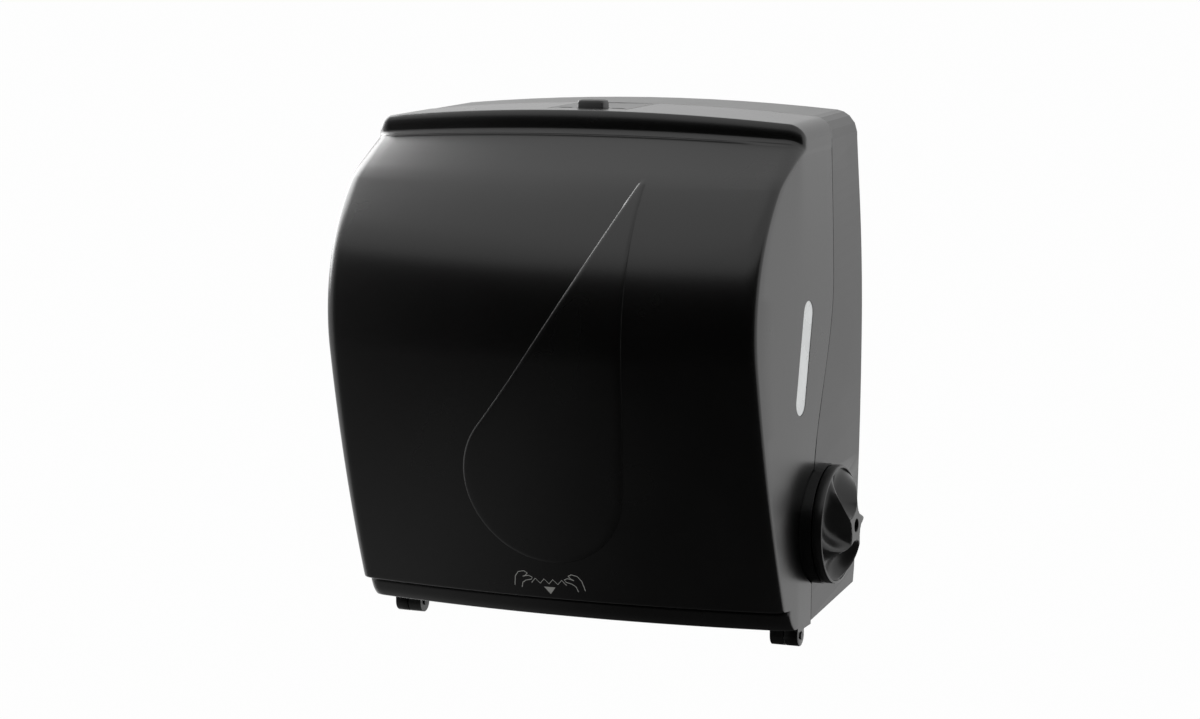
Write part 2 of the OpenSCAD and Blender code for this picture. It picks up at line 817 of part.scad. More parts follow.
// Drum frame: things drawn about the drum's axis, turned to the blade slot, as [along, across]
module at_slot() {
    translate([drum_d, -drum_z]) rotate(slot_a) children();
}

// Wedge from the centre between two angles
wedge_steps = 6;
full_turn = 360;
half_turn = 180;

module wedge(a0, a1) {
    reach = 3 * drum_r;
    polygon(concat([[0, 0]], [for (i = [0:wedge_steps])
        let (a = a0 + (a1 - a0) * i / wedge_steps)
        reach * [cos(a), sin(a)]]));
}

// Round hoop between two radii
module hoop(inner, outer) {
    difference() {
        circle(outer);
        circle(inner);
    }
}

// Link between two round ends
module link(p, q, rp, rq) {
    along = (q - p) / norm(q - p);
    side = [-along[1], along[0]];
    translate(p) circle(rp);
    translate(q) circle(rq);
    polygon([p + side * rp, q + side * rq, q - side * rq, p - side * rp]);
}

module cheek_outline() {
    polygon([
        [back_t, cheek_low_z], [back_t, cheek_top_z], [pinch_d + 2 * pinch_r, cheek_top_z],
        [cheek_front_d, cheek_front_top], [cheek_front_d, cheek_front_low], [cheek_low_d, cheek_low_z]
    ]);
}

// Cheek of the mechanism: a plate with two ribbed feet on the back plate
module cheek(s) {
    color("gray") on_side(s) difference() {
        union() {
            plate_x(cheek_x, cheek_out_x) cheek_outline();
            for (z = foot_zs) {
                box([cheek_x, back_t, z - foot_h / 2],
                    [cheek_out_x + foot_l, back_t + foot_t, z + foot_h / 2]);
                box([cheek_out_x - cut, back_t, z - rib_t / 2],
                    [cheek_out_x + rib_w, back_t + foot_l, z + rib_t / 2]);
            }
        }
        rod_x(cheek_x - cut, cheek_out_x + cut, drum_d, -drum_z, bush_r);
        rod_x(cheek_x - cut, cheek_out_x + cut, pinch_d, pinch_z, pinch_shaft_r + run_gap);
        for (z = rod_zs)
            rod_x(cheek_x - cut, cheek_out_x + cut, rod_d, z, rod_r);
        if (s < 0)
            rod_x(cheek_x - cut, cheek_out_x + cut, post_d, post_z, post_r);
        for (z = foot_zs)
            translate([foot_screw_x, cut - back_t, z]) rotate([90, 0, 0])
                cylinder(r = thread_r, h = foot_t + 2 * cut);
    }
}

module cheek_left() cheek(-1);
module cheek_right() cheek(1);

module tie_rods() {
    color("silver") for (z = rod_zs)
        rod_x(-cheek_out_x - shaft_overhang, cheek_out_x + shaft_overhang, rod_d, z, rod_r - run_gap / 2);
}

// Flanged bush in a cheek for the drum's journal
module drum_bush(s) {
    end_x = cheek_out_x + bush_flange_t;
    color("ivory") on_side(s) difference() {
        union() {
            rod_x(cheek_x, end_x, drum_d, -drum_z, bush_r - run_gap / 2);
            rod_x(cheek_out_x, end_x, drum_d, -drum_z, bush_flange_r);
        }
        rod_x(cheek_x - cut, end_x + cut, drum_d, -drum_z, journal_r + run_gap);
    }
}

module drum_bush_left() drum_bush(-1);
module drum_bush_right() drum_bush(1);

// Ring on the left cheek that the blade's follower runs in
module cam_track() {
    color("ivory") plate_x(-cheek_x, -drum_hl - side_gap)
        translate([drum_d, -drum_z]) hoop(cam_r, cam_r + cam_w);
}

// Curved guide before the drum, with a flared lip down to the exit
module paper_guide() {
    lip_a = guide_low_a + guide_lap_a;
    lip_in = guide_r * [cos(lip_a), sin(lip_a)];
    lip_out = (guide_r + guide_t) * [cos(lip_a), sin(lip_a)];
    lip_way = [guide_flare, -guide_lip_l];
    color("gray") {
        plate_x(-cheek_x, cheek_x) translate([drum_d, -drum_z]) intersection() {
            hoop(guide_r, guide_r + guide_t);
            wedge(guide_low_a, guide_top_a);
        }
        plate_x(-cheek_x, cheek_x) translate([drum_d, -drum_z])
            polygon([lip_in, lip_out, lip_out + lip_way, lip_in + lip_way]);
    }
}

// Headed pin on the left, from a place outward
module headed_pin(x, d, z, r) {
    rod_x(-pin_end_x, -x, d, z, r - run_gap / 2);
    rod_x(-pin_end_x - pin_head_t, -pin_end_x, d, z, r + pin_head_w);
}

module spring_post() {
    color("silver") headed_pin(cheek_x, post_d, post_z, post_r);
}

module crank_pin() {
    color("silver") headed_pin(crank_in_x, pin_d, pin_z, crank_pin_r);
}

// Outline of a roll arm: broad root, round end at the hub, and a window between
module arm_outline(root_d) {
    span = roll_d - root_d;
    difference() {
        union() {
            polygon([
                [root_d, roll_z - arm_root_h / 2], [root_d, roll_z + arm_root_h / 2],
                [roll_d, roll_z + arm_end_r], [roll_d, roll_z - arm_end_r]
            ]);
            translate([roll_d, roll_z]) circle(arm_end_r);
        }
        link([root_d + span * arm_hole_near, roll_z], [root_d + span * arm_hole_far, roll_z],
            arm_hole_root_r, arm_hole_end_r);
    }
}

module roll_arm_left() {
    color("gray") mirror([1, 0, 0]) difference() {
        union() {
            plate_x(arm_x, arm_x + arm_t) arm_outline(back_t);
            box([arm_x, back_t, roll_z - arm_root_h / 2],
                [arm_x + arm_t + foot_l, back_t + foot_t, roll_z + arm_root_h / 2]);
            rod_x(stud_end_x, arm_x + arm_t / 2, roll_d, roll_z, stud_r);
        }
        for (s = [-1, 1])
            translate([arm_screw_x, cut - back_t, roll_z + s * arm_screw_z])
                rotate([90, 0, 0]) cylinder(r = thread_r, h = foot_t + 2 * cut);
    }
}

module roll_arm_right() {
    eye_top = arm_root_h / 2 - arm_coil_h;
    color("gray") difference() {
        union() {
            plate_x(arm_x, arm_x + arm_t) arm_outline(arm_pin_d);
            at_arm_pin(-arm_root_h / 2, eye_top, arm_eye_r);
            box([arm_x, arm_pin_d, roll_z - arm_root_h / 2],
                [arm_pin_x, arm_pin_d + arm_eye_r, roll_z + eye_top]);
            rod_x(stud_end_x, arm_x + arm_t / 2, roll_d, roll_z, stud_r);
        }
        at_arm_pin(-arm_root_h, arm_root_h, arm_pin_r + run_gap);
    }
}

module arm_pivot_pin() {
    color("silver") at_arm_pin(-eye_z - eye_h / 2, eye_z + eye_h / 2, arm_pin_r - run_gap / 2);
}

// Hub that fills the end of the paper's core, with its flange against the roll
module roll_hub(s) {
    plug = hub_flange_t + hub_l;
    color("gray") on_side(s)
        translate([paper_w / 2 + hub_flange_t, -roll_d, roll_z]) rotate([0, -90, 0])
            rotate_extrude() polygon([
                [stud_r + run_gap, 0], [hub_r + hub_flange_w, 0], [hub_r + hub_flange_w, hub_flange_t],
                [hub_r, hub_flange_t], [hub_r, plug - hub_flange_t], [hub_r - hub_flange_t, plug],
                [stud_r + run_gap, plug]
            ]);
}

module roll_hub_left() roll_hub(-1);
module roll_hub_right() roll_hub(1);

// Slotted screws that hold the cheeks and the left roll arm
module case_screws() {
    color("silver") at_case_screws() {
        translate([0, 0, foot_t]) difference() {
            cylinder(r = screw_head_r, h = screw_head_h);
            translate([-screw_slot_w / 2, -2 * screw_head_r, screw_head_h / 2])
                cube([screw_slot_w, 4 * screw_head_r, screw_head_h]);
        }
        translate([0, 0, -thread_l])
            cylinder(r = thread_r - run_gap / 2, h = foot_t + thread_l + screw_head_h / 4);
    }
}

// Part of the drum's skin between two angles from the blade slot
module drum_shell(a0, a1) {
    color("dimgray") plate_x(rim_t - drum_hl, drum_hl - rim_t) at_slot() intersection() {
        hoop(drum_r - shell_t, drum_r);
        wedge(a0, a1);
    }
}

module drum_shell_front() drum_shell(slot_up_a, half_turn);
module drum_shell_rear() drum_shell(half_turn, full_turn - slot_down_a);

// End cap of the drum: rim, spigot inside the shells, journal, and the seat of the blade's pivot
module drum_cap(s, reach) {
    rim_x = drum_hl - rim_t;
    color("dimgray") on_side(s) difference() {
        union() {
            rod_x(rim_x, drum_hl, drum_d, -drum_z, drum_r);
            plate_x(rim_x - spigot_l, drum_hl - rim_t / 2) translate([drum_d, -drum_z])
                hoop(drum_r - shell_t - spigot_t, drum_r - shell_t - run_gap);
            rod_x(drum_hl - rim_t / 2, reach, drum_d, -drum_z, journal_r);
        }
        plate_x(rim_x - cut, drum_hl + cut) at_slot() {
            translate(pivot) circle(pivot_r);
            if (s < 0)
                link(follower, swung(follower, blade_swing), follower_slot_r, follower_slot_r);
        }
        if (s > 0)
            rod_x(reach - knob_screw_l, reach + cut, drum_d, -drum_z, knob_screw_r);
    }
}

module drum_cap_left() drum_cap(-1, crank_out_x);
module drum_cap_right() drum_cap(1, shaft_end_x);

module grip_bands() {
    color("black") for (x = band_xs)
        plate_x(x - band_w / 2, x + band_w / 2) at_slot() intersection() {
            hoop(drum_r + run_gap / 2, drum_r + band_t);
            union() {
                wedge(slot_up_a + band_edge_a, half_turn);
                wedge(half_turn, full_turn - slot_down_a - band_edge_a);
            }
        }
}

module blade_pivots() {
    color("silver") both_sides()
        plate_x(carrier_x - side_gap, drum_hl) at_slot() translate(pivot) circle(pivot_r - run_gap / 2);
}

// Crank disc outside the left cheek, with relief holes
module crank_disc() {
    color("dimgray") mirror([1, 0, 0]) plate_x(crank_in_x, crank_out_x) difference() {
        translate([drum_d, -drum_z]) circle(crank_r + crank_edge);
        translate([drum_d, -drum_z]) circle(journal_r + run_gap / 2);
        translate([pin_d, pin_z]) circle(crank_pin_r);
        for (a = relief_as)
            translate([drum_d, -drum_z] + relief_at * [cos(crank_a + a), sin(crank_a + a)]) circle(relief_r);
    }
}

// Feed knob in detail, along its axis from the side next to the boss
knob_h = knob_rim_t + knob_cone_h;
knob_edge = 1.2;
knob_rim_w = 3;
knob_foot_r = knob_r - knob_rim_w;
knob_dish_edge = 0.6;
knob_dish_r = knob_foot_r - knob_dish_edge;
knob_face_r = 15.8;
knob_hole_r = 4.6;
knob_recess = 7;
knob_screw_r = 2;
knob_screw_l = 8;
knob_head_t = 2.5;
shaft_seat = 9;
shaft_end_x = knob_x + shaft_seat;
scoop_r = 24;
scoop_at = 34;
scoop_lift = 1;
scoop_up = scoop_r + scoop_lift;
ridge_a = 63;

// Feed knob: rim, and a cone whose scoops meet in sharp ridges
module feed_knob() {
    color("black") translate([knob_x, -drum_d, -drum_z]) rotate([0, 90, 0]) difference() {
        rotate_extrude() polygon([
            [journal_r + run_gap / 2, 0], [knob_r - knob_edge, 0], [knob_r, knob_edge],
            [knob_r, knob_rim_t - knob_edge], [knob_r - knob_edge, knob_rim_t], [knob_foot_r, knob_rim_t],
            [knob_face_r, knob_h], [knob_hole_r, knob_h], [knob_hole_r, knob_h - knob_recess],
            [knob_screw_r + slide_gap, knob_h - knob_recess], [knob_screw_r + slide_gap, shaft_seat],
            [journal_r + run_gap / 2, shaft_seat]
        ]);
        intersection() {
            for (i = [0:scoop_count - 1])
                rotate(ridge_a + full_turn * (i + 0.5) / scoop_count)
                    translate([scoop_at, 0, scoop_up]) sphere(r = scoop_r);
            cylinder(r = knob_dish_r, h = 2 * knob_h);
        }
    }
}

module knob_screw() {
    head_x = knob_x + knob_h - knob_recess;
    color("silver") {
        rod_x(head_x, head_x + knob_head_t, drum_d, -drum_z, knob_hole_r - slide_gap);
        rod_x(shaft_end_x - knob_screw_l + side_gap, head_x + knob_head_t / 2, drum_d, -drum_z,
            knob_screw_r - run_gap / 2);
    }
}

// Blade carrier: two end arms on the pivots, the bar between them, and the follower's arm and pin
module blade_carrier() {
    bar_end = [bar_u + bar_h / 2, bar_v + bar_t / 2];
    color("gray") difference() {
        union() {
            both_sides() plate_x(carrier_x, carrier_x + carrier_t) at_slot()
                link(pivot, bar_end, pivot_eye_r, bar_end_r);
            plate_x(-carrier_x - carrier_t, carrier_x + carrier_t) at_slot()
                translate([bar_u, bar_v]) square([bar_h, bar_t]);
            plate_x(-carrier_x - carrier_t, -carrier_x) at_slot()
                link(pivot, follower, pivot_eye_r, follower_slot_r);
            plate_x(-cheek_x + side_gap, -carrier_x - carrier_t / 2) at_slot()
                translate(follower) circle(follower_r);
        }
        plate_x(-drum_hl, drum_hl) at_slot() translate(pivot) circle(pivot_r + run_gap);
    }
}

// Serrated blade on the underside of the carrier's bar
module cutter_blade() {
    n = floor(2 * (carrier_x - side_gap) / tooth_pitch);
    end = n * tooth_pitch / 2;
    teeth = [for (i = [0:2 * n]) [i * tooth_pitch / 2 - end, blade_tip_u - (i % 2 == 0 ? tooth_h : 0)]];
    color("silver") translate([0, -drum_d, -drum_z]) rotate([180 - slot_a, 0, 0])
        translate([0, 0, -bar_v]) linear_extrude(blade_t)
            polygon(concat([[end, bar_u], [-end, bar_u]], teeth));
}

module pinch_shaft() {
    end_x = cheek_out_x + shaft_overhang;
    color("silver") rod_x(-end_x, end_x, pinch_d, pinch_z, pinch_shaft_r);
}

module pinch_sleeves() {
    color("black") for (x = sleeve_xs)
        plate_x(x - sleeve_l / 2, x + sleeve_l / 2) translate([pinch_d, pinch_z])
            hoop(pinch_shaft_r + run_gap / 2, pinch_r);
}

module lock_button() {
    foot_z = latch_low_z + latch_h;
    color("black") {
        box([-button_w / 2, latch_d0, foot_z], [button_w / 2, latch_d1, tongue_z + button_h]);
        box([-button_w / 2 - collar_w, latch_d0, foot_z],
            [button_w / 2 + collar_w, latch_d1, tongue_z - tongue_t - collar_gap]);
    }
}

// Slider under the button, with its nose under the cover's catch
module latch_slider() {
    color("gray") {
        box([slide_gap - guide_hw, latch_d0, latch_low_z],
            [guide_hw - slide_gap, latch_d1, latch_low_z + latch_h]);
        box([-nose_hw, latch_d1 - cut, latch_low_z], [nose_hw, nose_d, latch_low_z + nose_h]);
    }
}

// Guide of the slider: two walls under the tongue and a floor for the spring
module latch_guide() {
    color("gray") difference() {
        box([-guide_hw - guide_wall, latch_d0, latch_floor_z - guide_wall],
            [guide_hw + guide_wall, latch_d1, tongue_z]);
        box([-guide_hw, latch_d0 - cut, latch_floor_z], [guide_hw, latch_d1 + cut, tongue_z + cut]);
        tongue_block(tongue_t, cut);
    }
}

// Springs: points of a turn, sides of the wire, its sides' lean, and where each coil starts
coil_steps = 8;
wire_sides = 6;
wire_lean = [0.5, 0.3, 0.81];
drum_spring_a = 90;
arm_spring_a = 180;
latch_spring_a = 0;
eye_from_a = 240;
eye_to_a = 30;
eye_step_a = 30;
points_apart = 6;

// Points of a coil along +Z between two heights, with its first angle
function coil(r, z0, z1, turns, a0) = [
    for (i = [0:turns * coil_steps])
        let (a = a0 + full_turn * i / coil_steps)
        [r * cos(a), r * sin(a), z0 + (z1 - z0) * i / (turns * coil_steps)]
];

// Path with a straight run added at each end, each given as a vector
function straight_ends(path, before, after) = concat([path[0] + before], path, [path[len(path) - 1] + after]);

// Least distance between parts of a path that lie apart along it, less the wire
function least_gap(path, wire_r) =
    min([
        for (i = [0:len(path) - 1 - points_apart]) for (j = [i + points_apart:len(path) - 1])
            norm(path[j] - path[i])
    ]) - 2 * wire_r;

// Tube swept along a path, square to the path
module tube(path, r) {
    sides = wire_sides;
    n = len(path);
    function dir(i) = let (v = path[min(i + 1, n - 1)] - path[max(i - 1, 0)]) v / norm(v);
    function across(i) = let (v = cross(dir(i), wire_lean)) v / norm(v);
    points = [for (i = [0:n - 1])
        let (a = across(i), b = cross(dir(i), a))
        for (j = [0:sides - 1])
            let (t = full_turn * j / sides)
            path[i] + r * (cos(t) * a + sin(t) * b)];
    skin = [for (i = [0:n - 2]) for (j = [0:sides - 1])
        let (k = (j + 1) % sides, p = i * sides)
        quad(p + j, p + sides + j, p + sides + k, p + k)];
    last = (n - 1) * sides;
    caps = [for (j = [1:sides - 2]) [[0, j, j + 1], [last, last + j + 1, last + j]]];
    polyhedron(points, flat_list(concat(skin, caps)), convexity = 8);
}

// Return spring along +Z from the crank pin to the post, with an eye round each
drum_spring_path =
    let (
        z0 = eye_r + spring_lead,
        first = [for (a = [-eye_from_a:eye_step_a:-eye_to_a]) [0, eye_r * sin(a), eye_r * cos(a)]],
        last = [for (a = [-eye_to_a:-eye_step_a:-eye_from_a])
            [0, -eye_r * sin(a), spring_span - eye_r * cos(a)]],
        tail = 2 * spring_wire_r * [0, sin(eye_to_a), cos(eye_to_a)]
    )
    straight_ends(
        concat(first, coil(spring_coil_r, z0, spring_span - z0, spring_turns, drum_spring_a), last),
        tail, -tail
    );

arm_spring_path = straight_ends(
    coil(arm_coil_r, arm_wire_r + slide_gap, arm_coil_h - arm_wire_r, arm_turns, arm_spring_a),
    [0, arm_pin_d - back_t - arm_wire_r - slide_gap, 0], [0, -arm_leg_l, 0]
);

latch_spring_path = straight_ends(
    coil(latch_coil_r, latch_wire_r + slide_gap, latch_low_z - latch_floor_z - latch_wire_r - slide_gap,
        latch_turns, latch_spring_a),
    [0, -2 * latch_wire_r, 0], [0, 2 * latch_wire_r, 0]
);

module drum_spring() {
    color("silver") translate([-spring_x, -pin_d, pin_z])
        rotate([-atan2(pin_d - post_d, post_z - pin_z), 0, 0])
            tube(drum_spring_path, spring_wire_r);
}

module arm_spring() {
    color("silver") translate([arm_pin_x, -arm_pin_d, roll_z + arm_root_h / 2 - arm_coil_h])
        tube(arm_spring_path, arm_wire_r);
}

module latch_spring() {
    color("silver") translate([0, -button_d, latch_floor_z]) tube(latch_spring_path, latch_wire_r);
}

echo(drum_spring_gap = least_gap(drum_spring_path, spring_wire_r));
echo(arm_spring_gap = least_gap(arm_spring_path, arm_wire_r));
echo(latch_spring_gap = least_gap(latch_spring_path, latch_wire_r));

back_casing();
cheek_left();
cheek_right();
tie_rods();
drum_bush_left();
drum_bush_right();
cam_track();
paper_guide();
spring_post();
roll_arm_left();
arm_pivot_pin();
latch_guide();
hinge_pins();
case_screws();
front_cover();
sight_window_left();
sight_window_right();
drum_shell_front();
drum_shell_rear();
drum_cap_left();
drum_cap_right();
grip_bands();
blade_pivots();
crank_disc();
crank_pin();
feed_knob();
knob_screw();
drum_spring();
blade_carrier();
cutter_blade();
pinch_shaft();
pinch_sleeves();
roll_arm_right();
arm_spring();
roll_hub_left();
roll_hub_right();
lock_button();
latch_slider();
latch_spring();
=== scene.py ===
"""Dressed model of a wall mounted towel dispenser that cuts each sheet by itself.

The wall is the plane y = 0, the front faces -Y, and a depth d lies at y = -d. Sizes are written in millimetres, as
in the part's source, and become metres when a mesh is made.
"""

import logging
import math
from dataclasses import dataclass
from enum import Enum
from typing import Any, Optional, Union

import bmesh
import bpy
import numpy as np
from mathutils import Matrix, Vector


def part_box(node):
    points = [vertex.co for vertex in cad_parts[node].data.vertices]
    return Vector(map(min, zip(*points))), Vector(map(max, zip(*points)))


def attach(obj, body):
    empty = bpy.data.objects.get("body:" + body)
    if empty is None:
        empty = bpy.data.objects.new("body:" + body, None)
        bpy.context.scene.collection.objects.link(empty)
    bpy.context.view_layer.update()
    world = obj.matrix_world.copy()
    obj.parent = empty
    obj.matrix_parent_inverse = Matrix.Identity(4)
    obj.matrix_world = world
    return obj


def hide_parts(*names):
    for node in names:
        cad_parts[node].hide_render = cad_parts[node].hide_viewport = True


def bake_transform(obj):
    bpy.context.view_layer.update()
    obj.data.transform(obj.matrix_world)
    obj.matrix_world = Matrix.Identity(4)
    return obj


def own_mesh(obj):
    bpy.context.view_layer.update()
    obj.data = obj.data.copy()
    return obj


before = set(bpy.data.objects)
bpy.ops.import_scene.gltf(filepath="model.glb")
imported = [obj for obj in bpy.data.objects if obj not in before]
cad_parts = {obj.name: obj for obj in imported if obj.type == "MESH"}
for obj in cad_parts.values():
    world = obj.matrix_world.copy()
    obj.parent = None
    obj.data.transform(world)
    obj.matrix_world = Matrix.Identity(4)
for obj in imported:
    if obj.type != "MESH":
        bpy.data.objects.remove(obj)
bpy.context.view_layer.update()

LOG = logging.getLogger("dispenser")
MM = 0.001  # metres in a millimetre
KNEE = 0.3  # share of a bevel's width at its middle point
Array = np.ndarray
Mesh = bpy.types.Mesh
Piece = bpy.types.Object
Material = bpy.types.Material
Pair = tuple[float, float]
Triple = tuple[float, float, float]
Colour = Triple


class Wire:
    """Output of a shader node; arithmetic on it adds Math nodes."""

    def __init__(self, shade: "Shade", socket: bpy.types.NodeSocket) -> None:
        """Keeps the socket and the tree that it belongs to."""
        self.shade = shade
        self.socket = socket

    def _math(self, operation: str, first: "Value", second: "Value") -> "Wire":
        """Adds one Math node for an operation on two values."""
        return self.shade.node("ShaderNodeMath", {"operation": operation}, {0: first, 1: second})

    def __add__(self, other: "Value") -> "Wire":
        """Sum, in either order."""
        return self._math("ADD", self, other)

    __radd__ = __add__

    def __sub__(self, other: "Value") -> "Wire":
        """Difference."""
        return self._math("SUBTRACT", self, other)

    def __rsub__(self, other: "Value") -> "Wire":
        """Difference from a number on the left."""
        return self._math("SUBTRACT", other, self)

    def __mul__(self, other: "Value") -> "Wire":
        """Product, in either order."""
        return self._math("MULTIPLY", self, other)

    __rmul__ = __mul__


Value = Union[Wire, float, int, tuple]
Tone = Union[Wire, Colour]


class Shade:
    """Node tree of one material or of the room."""

    def __init__(self, owner: Union[str, bpy.types.World]) -> None:
        """Starts an empty tree.

        Args:
            owner: Name of a new material, or the world.
        """
        self.owner = bpy.data.materials.new(owner) if isinstance(owner, str) else owner
        self.owner.use_nodes = True
        self.tree = self.owner.node_tree
        self.tree.nodes.clear()

    def node(self, kind: str, settings: Optional[dict[str, Any]] = None,
             inputs: Optional[dict[Union[str, int], Value]] = None, output: Union[str, int] = 0) -> Wire:
        """Adds one node.

        Args:
            kind: Blender's type of the node.
            settings: Properties that are set first.
            inputs: Values or wires of its sockets, by name or number.
            output: Socket that is returned.

        Returns:
            The wire from that output.
        """
        made = self.tree.nodes.new(kind)
        for key, value in (settings or {}).items():
            setattr(made, key, value)
        for key, value in (inputs or {}).items():
            socket = made.inputs[key]
            if isinstance(value, Wire):
                self.tree.links.new(value.socket, socket)
            else:
                socket.default_value = value
        return Wire(self, made.outputs[output] if made.outputs else None)

    def place(self, stretch: Triple = (1.0, 1.0, 1.0)) -> Wire:
        """Object coordinates, stretched along each axis.

        Args:
            stretch: Factor of the pattern's size along X, Y and Z.

        Returns:
            The vector.
        """
        at = self.node("ShaderNodeTexCoord", output="Object")
        if stretch == (1.0, 1.0, 1.0):
            return at
        scale = tuple(1.0 / s for s in stretch)
        return self.node("ShaderNodeMapping", {}, {"Vector": at, "Scale": scale})

    def noise(self, at: Wire, size: float, detail: float = 2.0) -> Wire:
        """Soft noise from 0 to 1 with blotches about a size in millimetres across, and octaves of finer noise."""
        return self.node("ShaderNodeTexNoise", {}, {"Vector": at, "Scale": 1.0 / (size * MM), "Detail": detail})

    def ramp(self, value: Wire, low: float, high: float) -> Wire:
        """Smooth step of a value from 0 at a low place to 1 at a high place."""
        return self.node("ShaderNodeMapRange", {"interpolation_type": "SMOOTHSTEP"},
                         {0: value, 1: low, 2: high, 3: 0.0, 4: 1.0})

    def blend(self, factor: Value, first: Tone, second: Tone) -> Wire:
        """Mix of two colours, with the second one's share as the factor."""
        full = [tone if isinstance(tone, Wire) else (*tone, 1.0) for tone in (first, second)]
        return self.node("ShaderNodeMix", {"data_type": "RGBA"}, {0: factor, 6: full[0], 7: full[1]}, 2)

    def bump(self, height: Wire, depth: float) -> Wire:
        """Normal of a relief from 0 to 1 whose full depth is given in millimetres."""
        return self.node("ShaderNodeBump", {}, {"Height": height, "Distance": depth * MM, "Strength": 1.0})

    def surface(self, **inputs: Value) -> Material:
        """Closes the tree with a Principled shader.

        Args:
            inputs: Its sockets, with underscores for the spaces in their names.

        Returns:
            The finished material.
        """
        named = {key.replace("_", " "): value for key, value in inputs.items()}
        shader = self.node("ShaderNodeBsdfPrincipled", {}, named)
        self.node("ShaderNodeOutputMaterial", {}, {"Surface": shader})
        return self.owner

    def plain_view(self) -> Wire:
        """Finds the rays that show the background.

        Returns:
            1 for a ray from the camera, from a gloss or through a clear piece, and else 0.
        """
        rays = [self.node("ShaderNodeLightPath", output=name)
                for name in ("Is Camera Ray", "Is Glossy Ray", "Is Transmission Ray")]
        return self.node("ShaderNodeClamp", {}, {"Value": rays[0] + rays[1] + rays[2]})


class Mould(Enum):
    """Surface that a mould leaves, as (roughness, size of its grain, depth of its grain), sizes in millimetres."""

    POLISHED = (0.27, 0.8, 0.003)
    SATIN = (0.33, 0.45, 0.006)
    GRAINED = (0.46, 0.4, 0.016)


def grey(level: float) -> Colour:
    """Neutral colour of a level."""
    return (level, level, level)


def tint(colour: Colour, share: float, more: float = 0.0) -> Colour:
    """Colour times a share, with a little grey added."""
    return tuple(share * c + more for c in colour)


@dataclass(frozen=True)
class MouldedPlastic:
    """Moulded plastic with the mould's fine grain and a slow drift of its tone and gloss."""

    name: str
    colour: Colour
    mould: Mould
    shine: float = 0.5
    drift: float = 0.12
    patch: float = 60.0

    def material(self) -> Material:
        """Makes the material: noise drifts the tone and the gloss, fine noise lifts the grain.

        Returns:
            The material.
        """
        rough, size, depth = self.mould.value
        shade = Shade(self.name)
        at = shade.place()
        slow = shade.noise(at, self.patch, 3.0)
        fine = shade.noise(at, size)
        tone = shade.blend(shade.ramp(slow, 0.3, 0.7), tint(self.colour, 0.86), tint(self.colour, 1.14, 0.0002))
        gloss = rough * (1.0 - self.drift) + slow * (2.0 * self.drift * rough)
        return shade.surface(Base_Color=tone, Roughness=gloss, Normal=shade.bump(fine, depth),
                             Specular_IOR_Level=self.shine)


@dataclass(frozen=True)
class FrostedWindow:
    """Pale frosted plastic."""

    name: str
    colour: Colour
    cloud_size: float = 18.0
    frost_size: float = 0.5
    frost_h: float = 0.004

    def material(self) -> Material:
        """Makes the material: a cloudy tone and a fine frosted grain.

        Returns:
            The material.
        """
        shade = Shade(self.name)
        at = shade.place()
        cloud = shade.noise(at, self.cloud_size, 3.0)
        frost = shade.noise(at, self.frost_size)
        tone = shade.blend(shade.ramp(cloud, 0.3, 0.75), tint(self.colour, 0.9), self.colour)
        return shade.surface(Base_Color=tone, Roughness=0.22 + cloud * 0.12,
                             Normal=shade.bump(frost, self.frost_h), Specular_IOR_Level=0.5)


@dataclass(frozen=True)
class GripRubber:
    """Matt rubber with a fine pebbled skin."""

    name: str
    colour: Colour
    pebble_size: float = 1.1
    pebble_h: float = 0.05
    bloom_size: float = 25.0

    def material(self) -> Material:
        """Makes the material: pebbles from cells, and a bloom that greys the tone.

        Returns:
            The material.
        """
        shade = Shade(self.name)
        at = shade.place()
        pebble = shade.node("ShaderNodeTexVoronoi", {}, {"Vector": at, "Scale": 1.0 / (self.pebble_size * MM)})
        bloom = shade.noise(at, self.bloom_size, 4.0)
        tone = shade.blend(shade.ramp(bloom, 0.35, 0.75), self.colour, tint(self.colour, 1.6, 0.008))
        return shade.surface(Base_Color=tone, Roughness=0.68 + bloom * 0.18,
                             Normal=shade.bump(1.0 - pebble, self.pebble_h), Specular_IOR_Level=0.35)


class Working(Enum):
    """How a metal was worked: (stretch of its marks along X, Y and Z, size in millimetres, roughness)."""

    TURNED = ((1.0, 12.0, 12.0), 0.5, 0.3)
    DRAWN = ((6.0, 6.0, 6.0), 0.6, 0.24)
    GROUND = ((1.0, 20.0, 20.0), 0.35, 0.26)


@dataclass(frozen=True)
class WorkedMetal:
    """Bare or plated steel with the marks of its working."""

    name: str
    colour: Colour
    working: Working
    film_size: float = 14.0
    mark_h: float = 0.004

    def material(self) -> Material:
        """Makes the material: stretched noise as working marks, slow noise as a dull film.

        Returns:
            The material.
        """
        stretch, size, rough = self.working.value
        shade = Shade(self.name)
        marks = shade.noise(shade.place(stretch), size, 3.0)
        film = shade.noise(shade.place(), self.film_size, 3.0)
        tone = shade.blend(shade.ramp(film, 0.35, 0.75), self.colour, tint(self.colour, 0.72))
        gloss = (rough - 0.06) + marks * 0.12 + film * 0.08
        return shade.surface(Base_Color=tone, Roughness=gloss, Metallic=1.0, Normal=shade.bump(marks, self.mark_h))


@dataclass(frozen=True)
class PrintedInk:
    """Thin screen printed ink, a little worn."""

    name: str
    colour: Colour
    ground: Colour
    spot: float = 0.9

    def material(self) -> Material:
        """Makes the material: small worn spots let the ground through.

        Returns:
            The material.
        """
        shade = Shade(self.name)
        worn = shade.ramp(shade.noise(shade.place(), self.spot, 3.0), 0.62, 0.78)
        tone = shade.blend(worn * 0.5, self.colour, self.ground)
        return shade.surface(Base_Color=tone, Roughness=0.42 + worn * 0.1, Specular_IOR_Level=0.4)


BLACK: Colour = (0.0013, 0.0013, 0.0012)


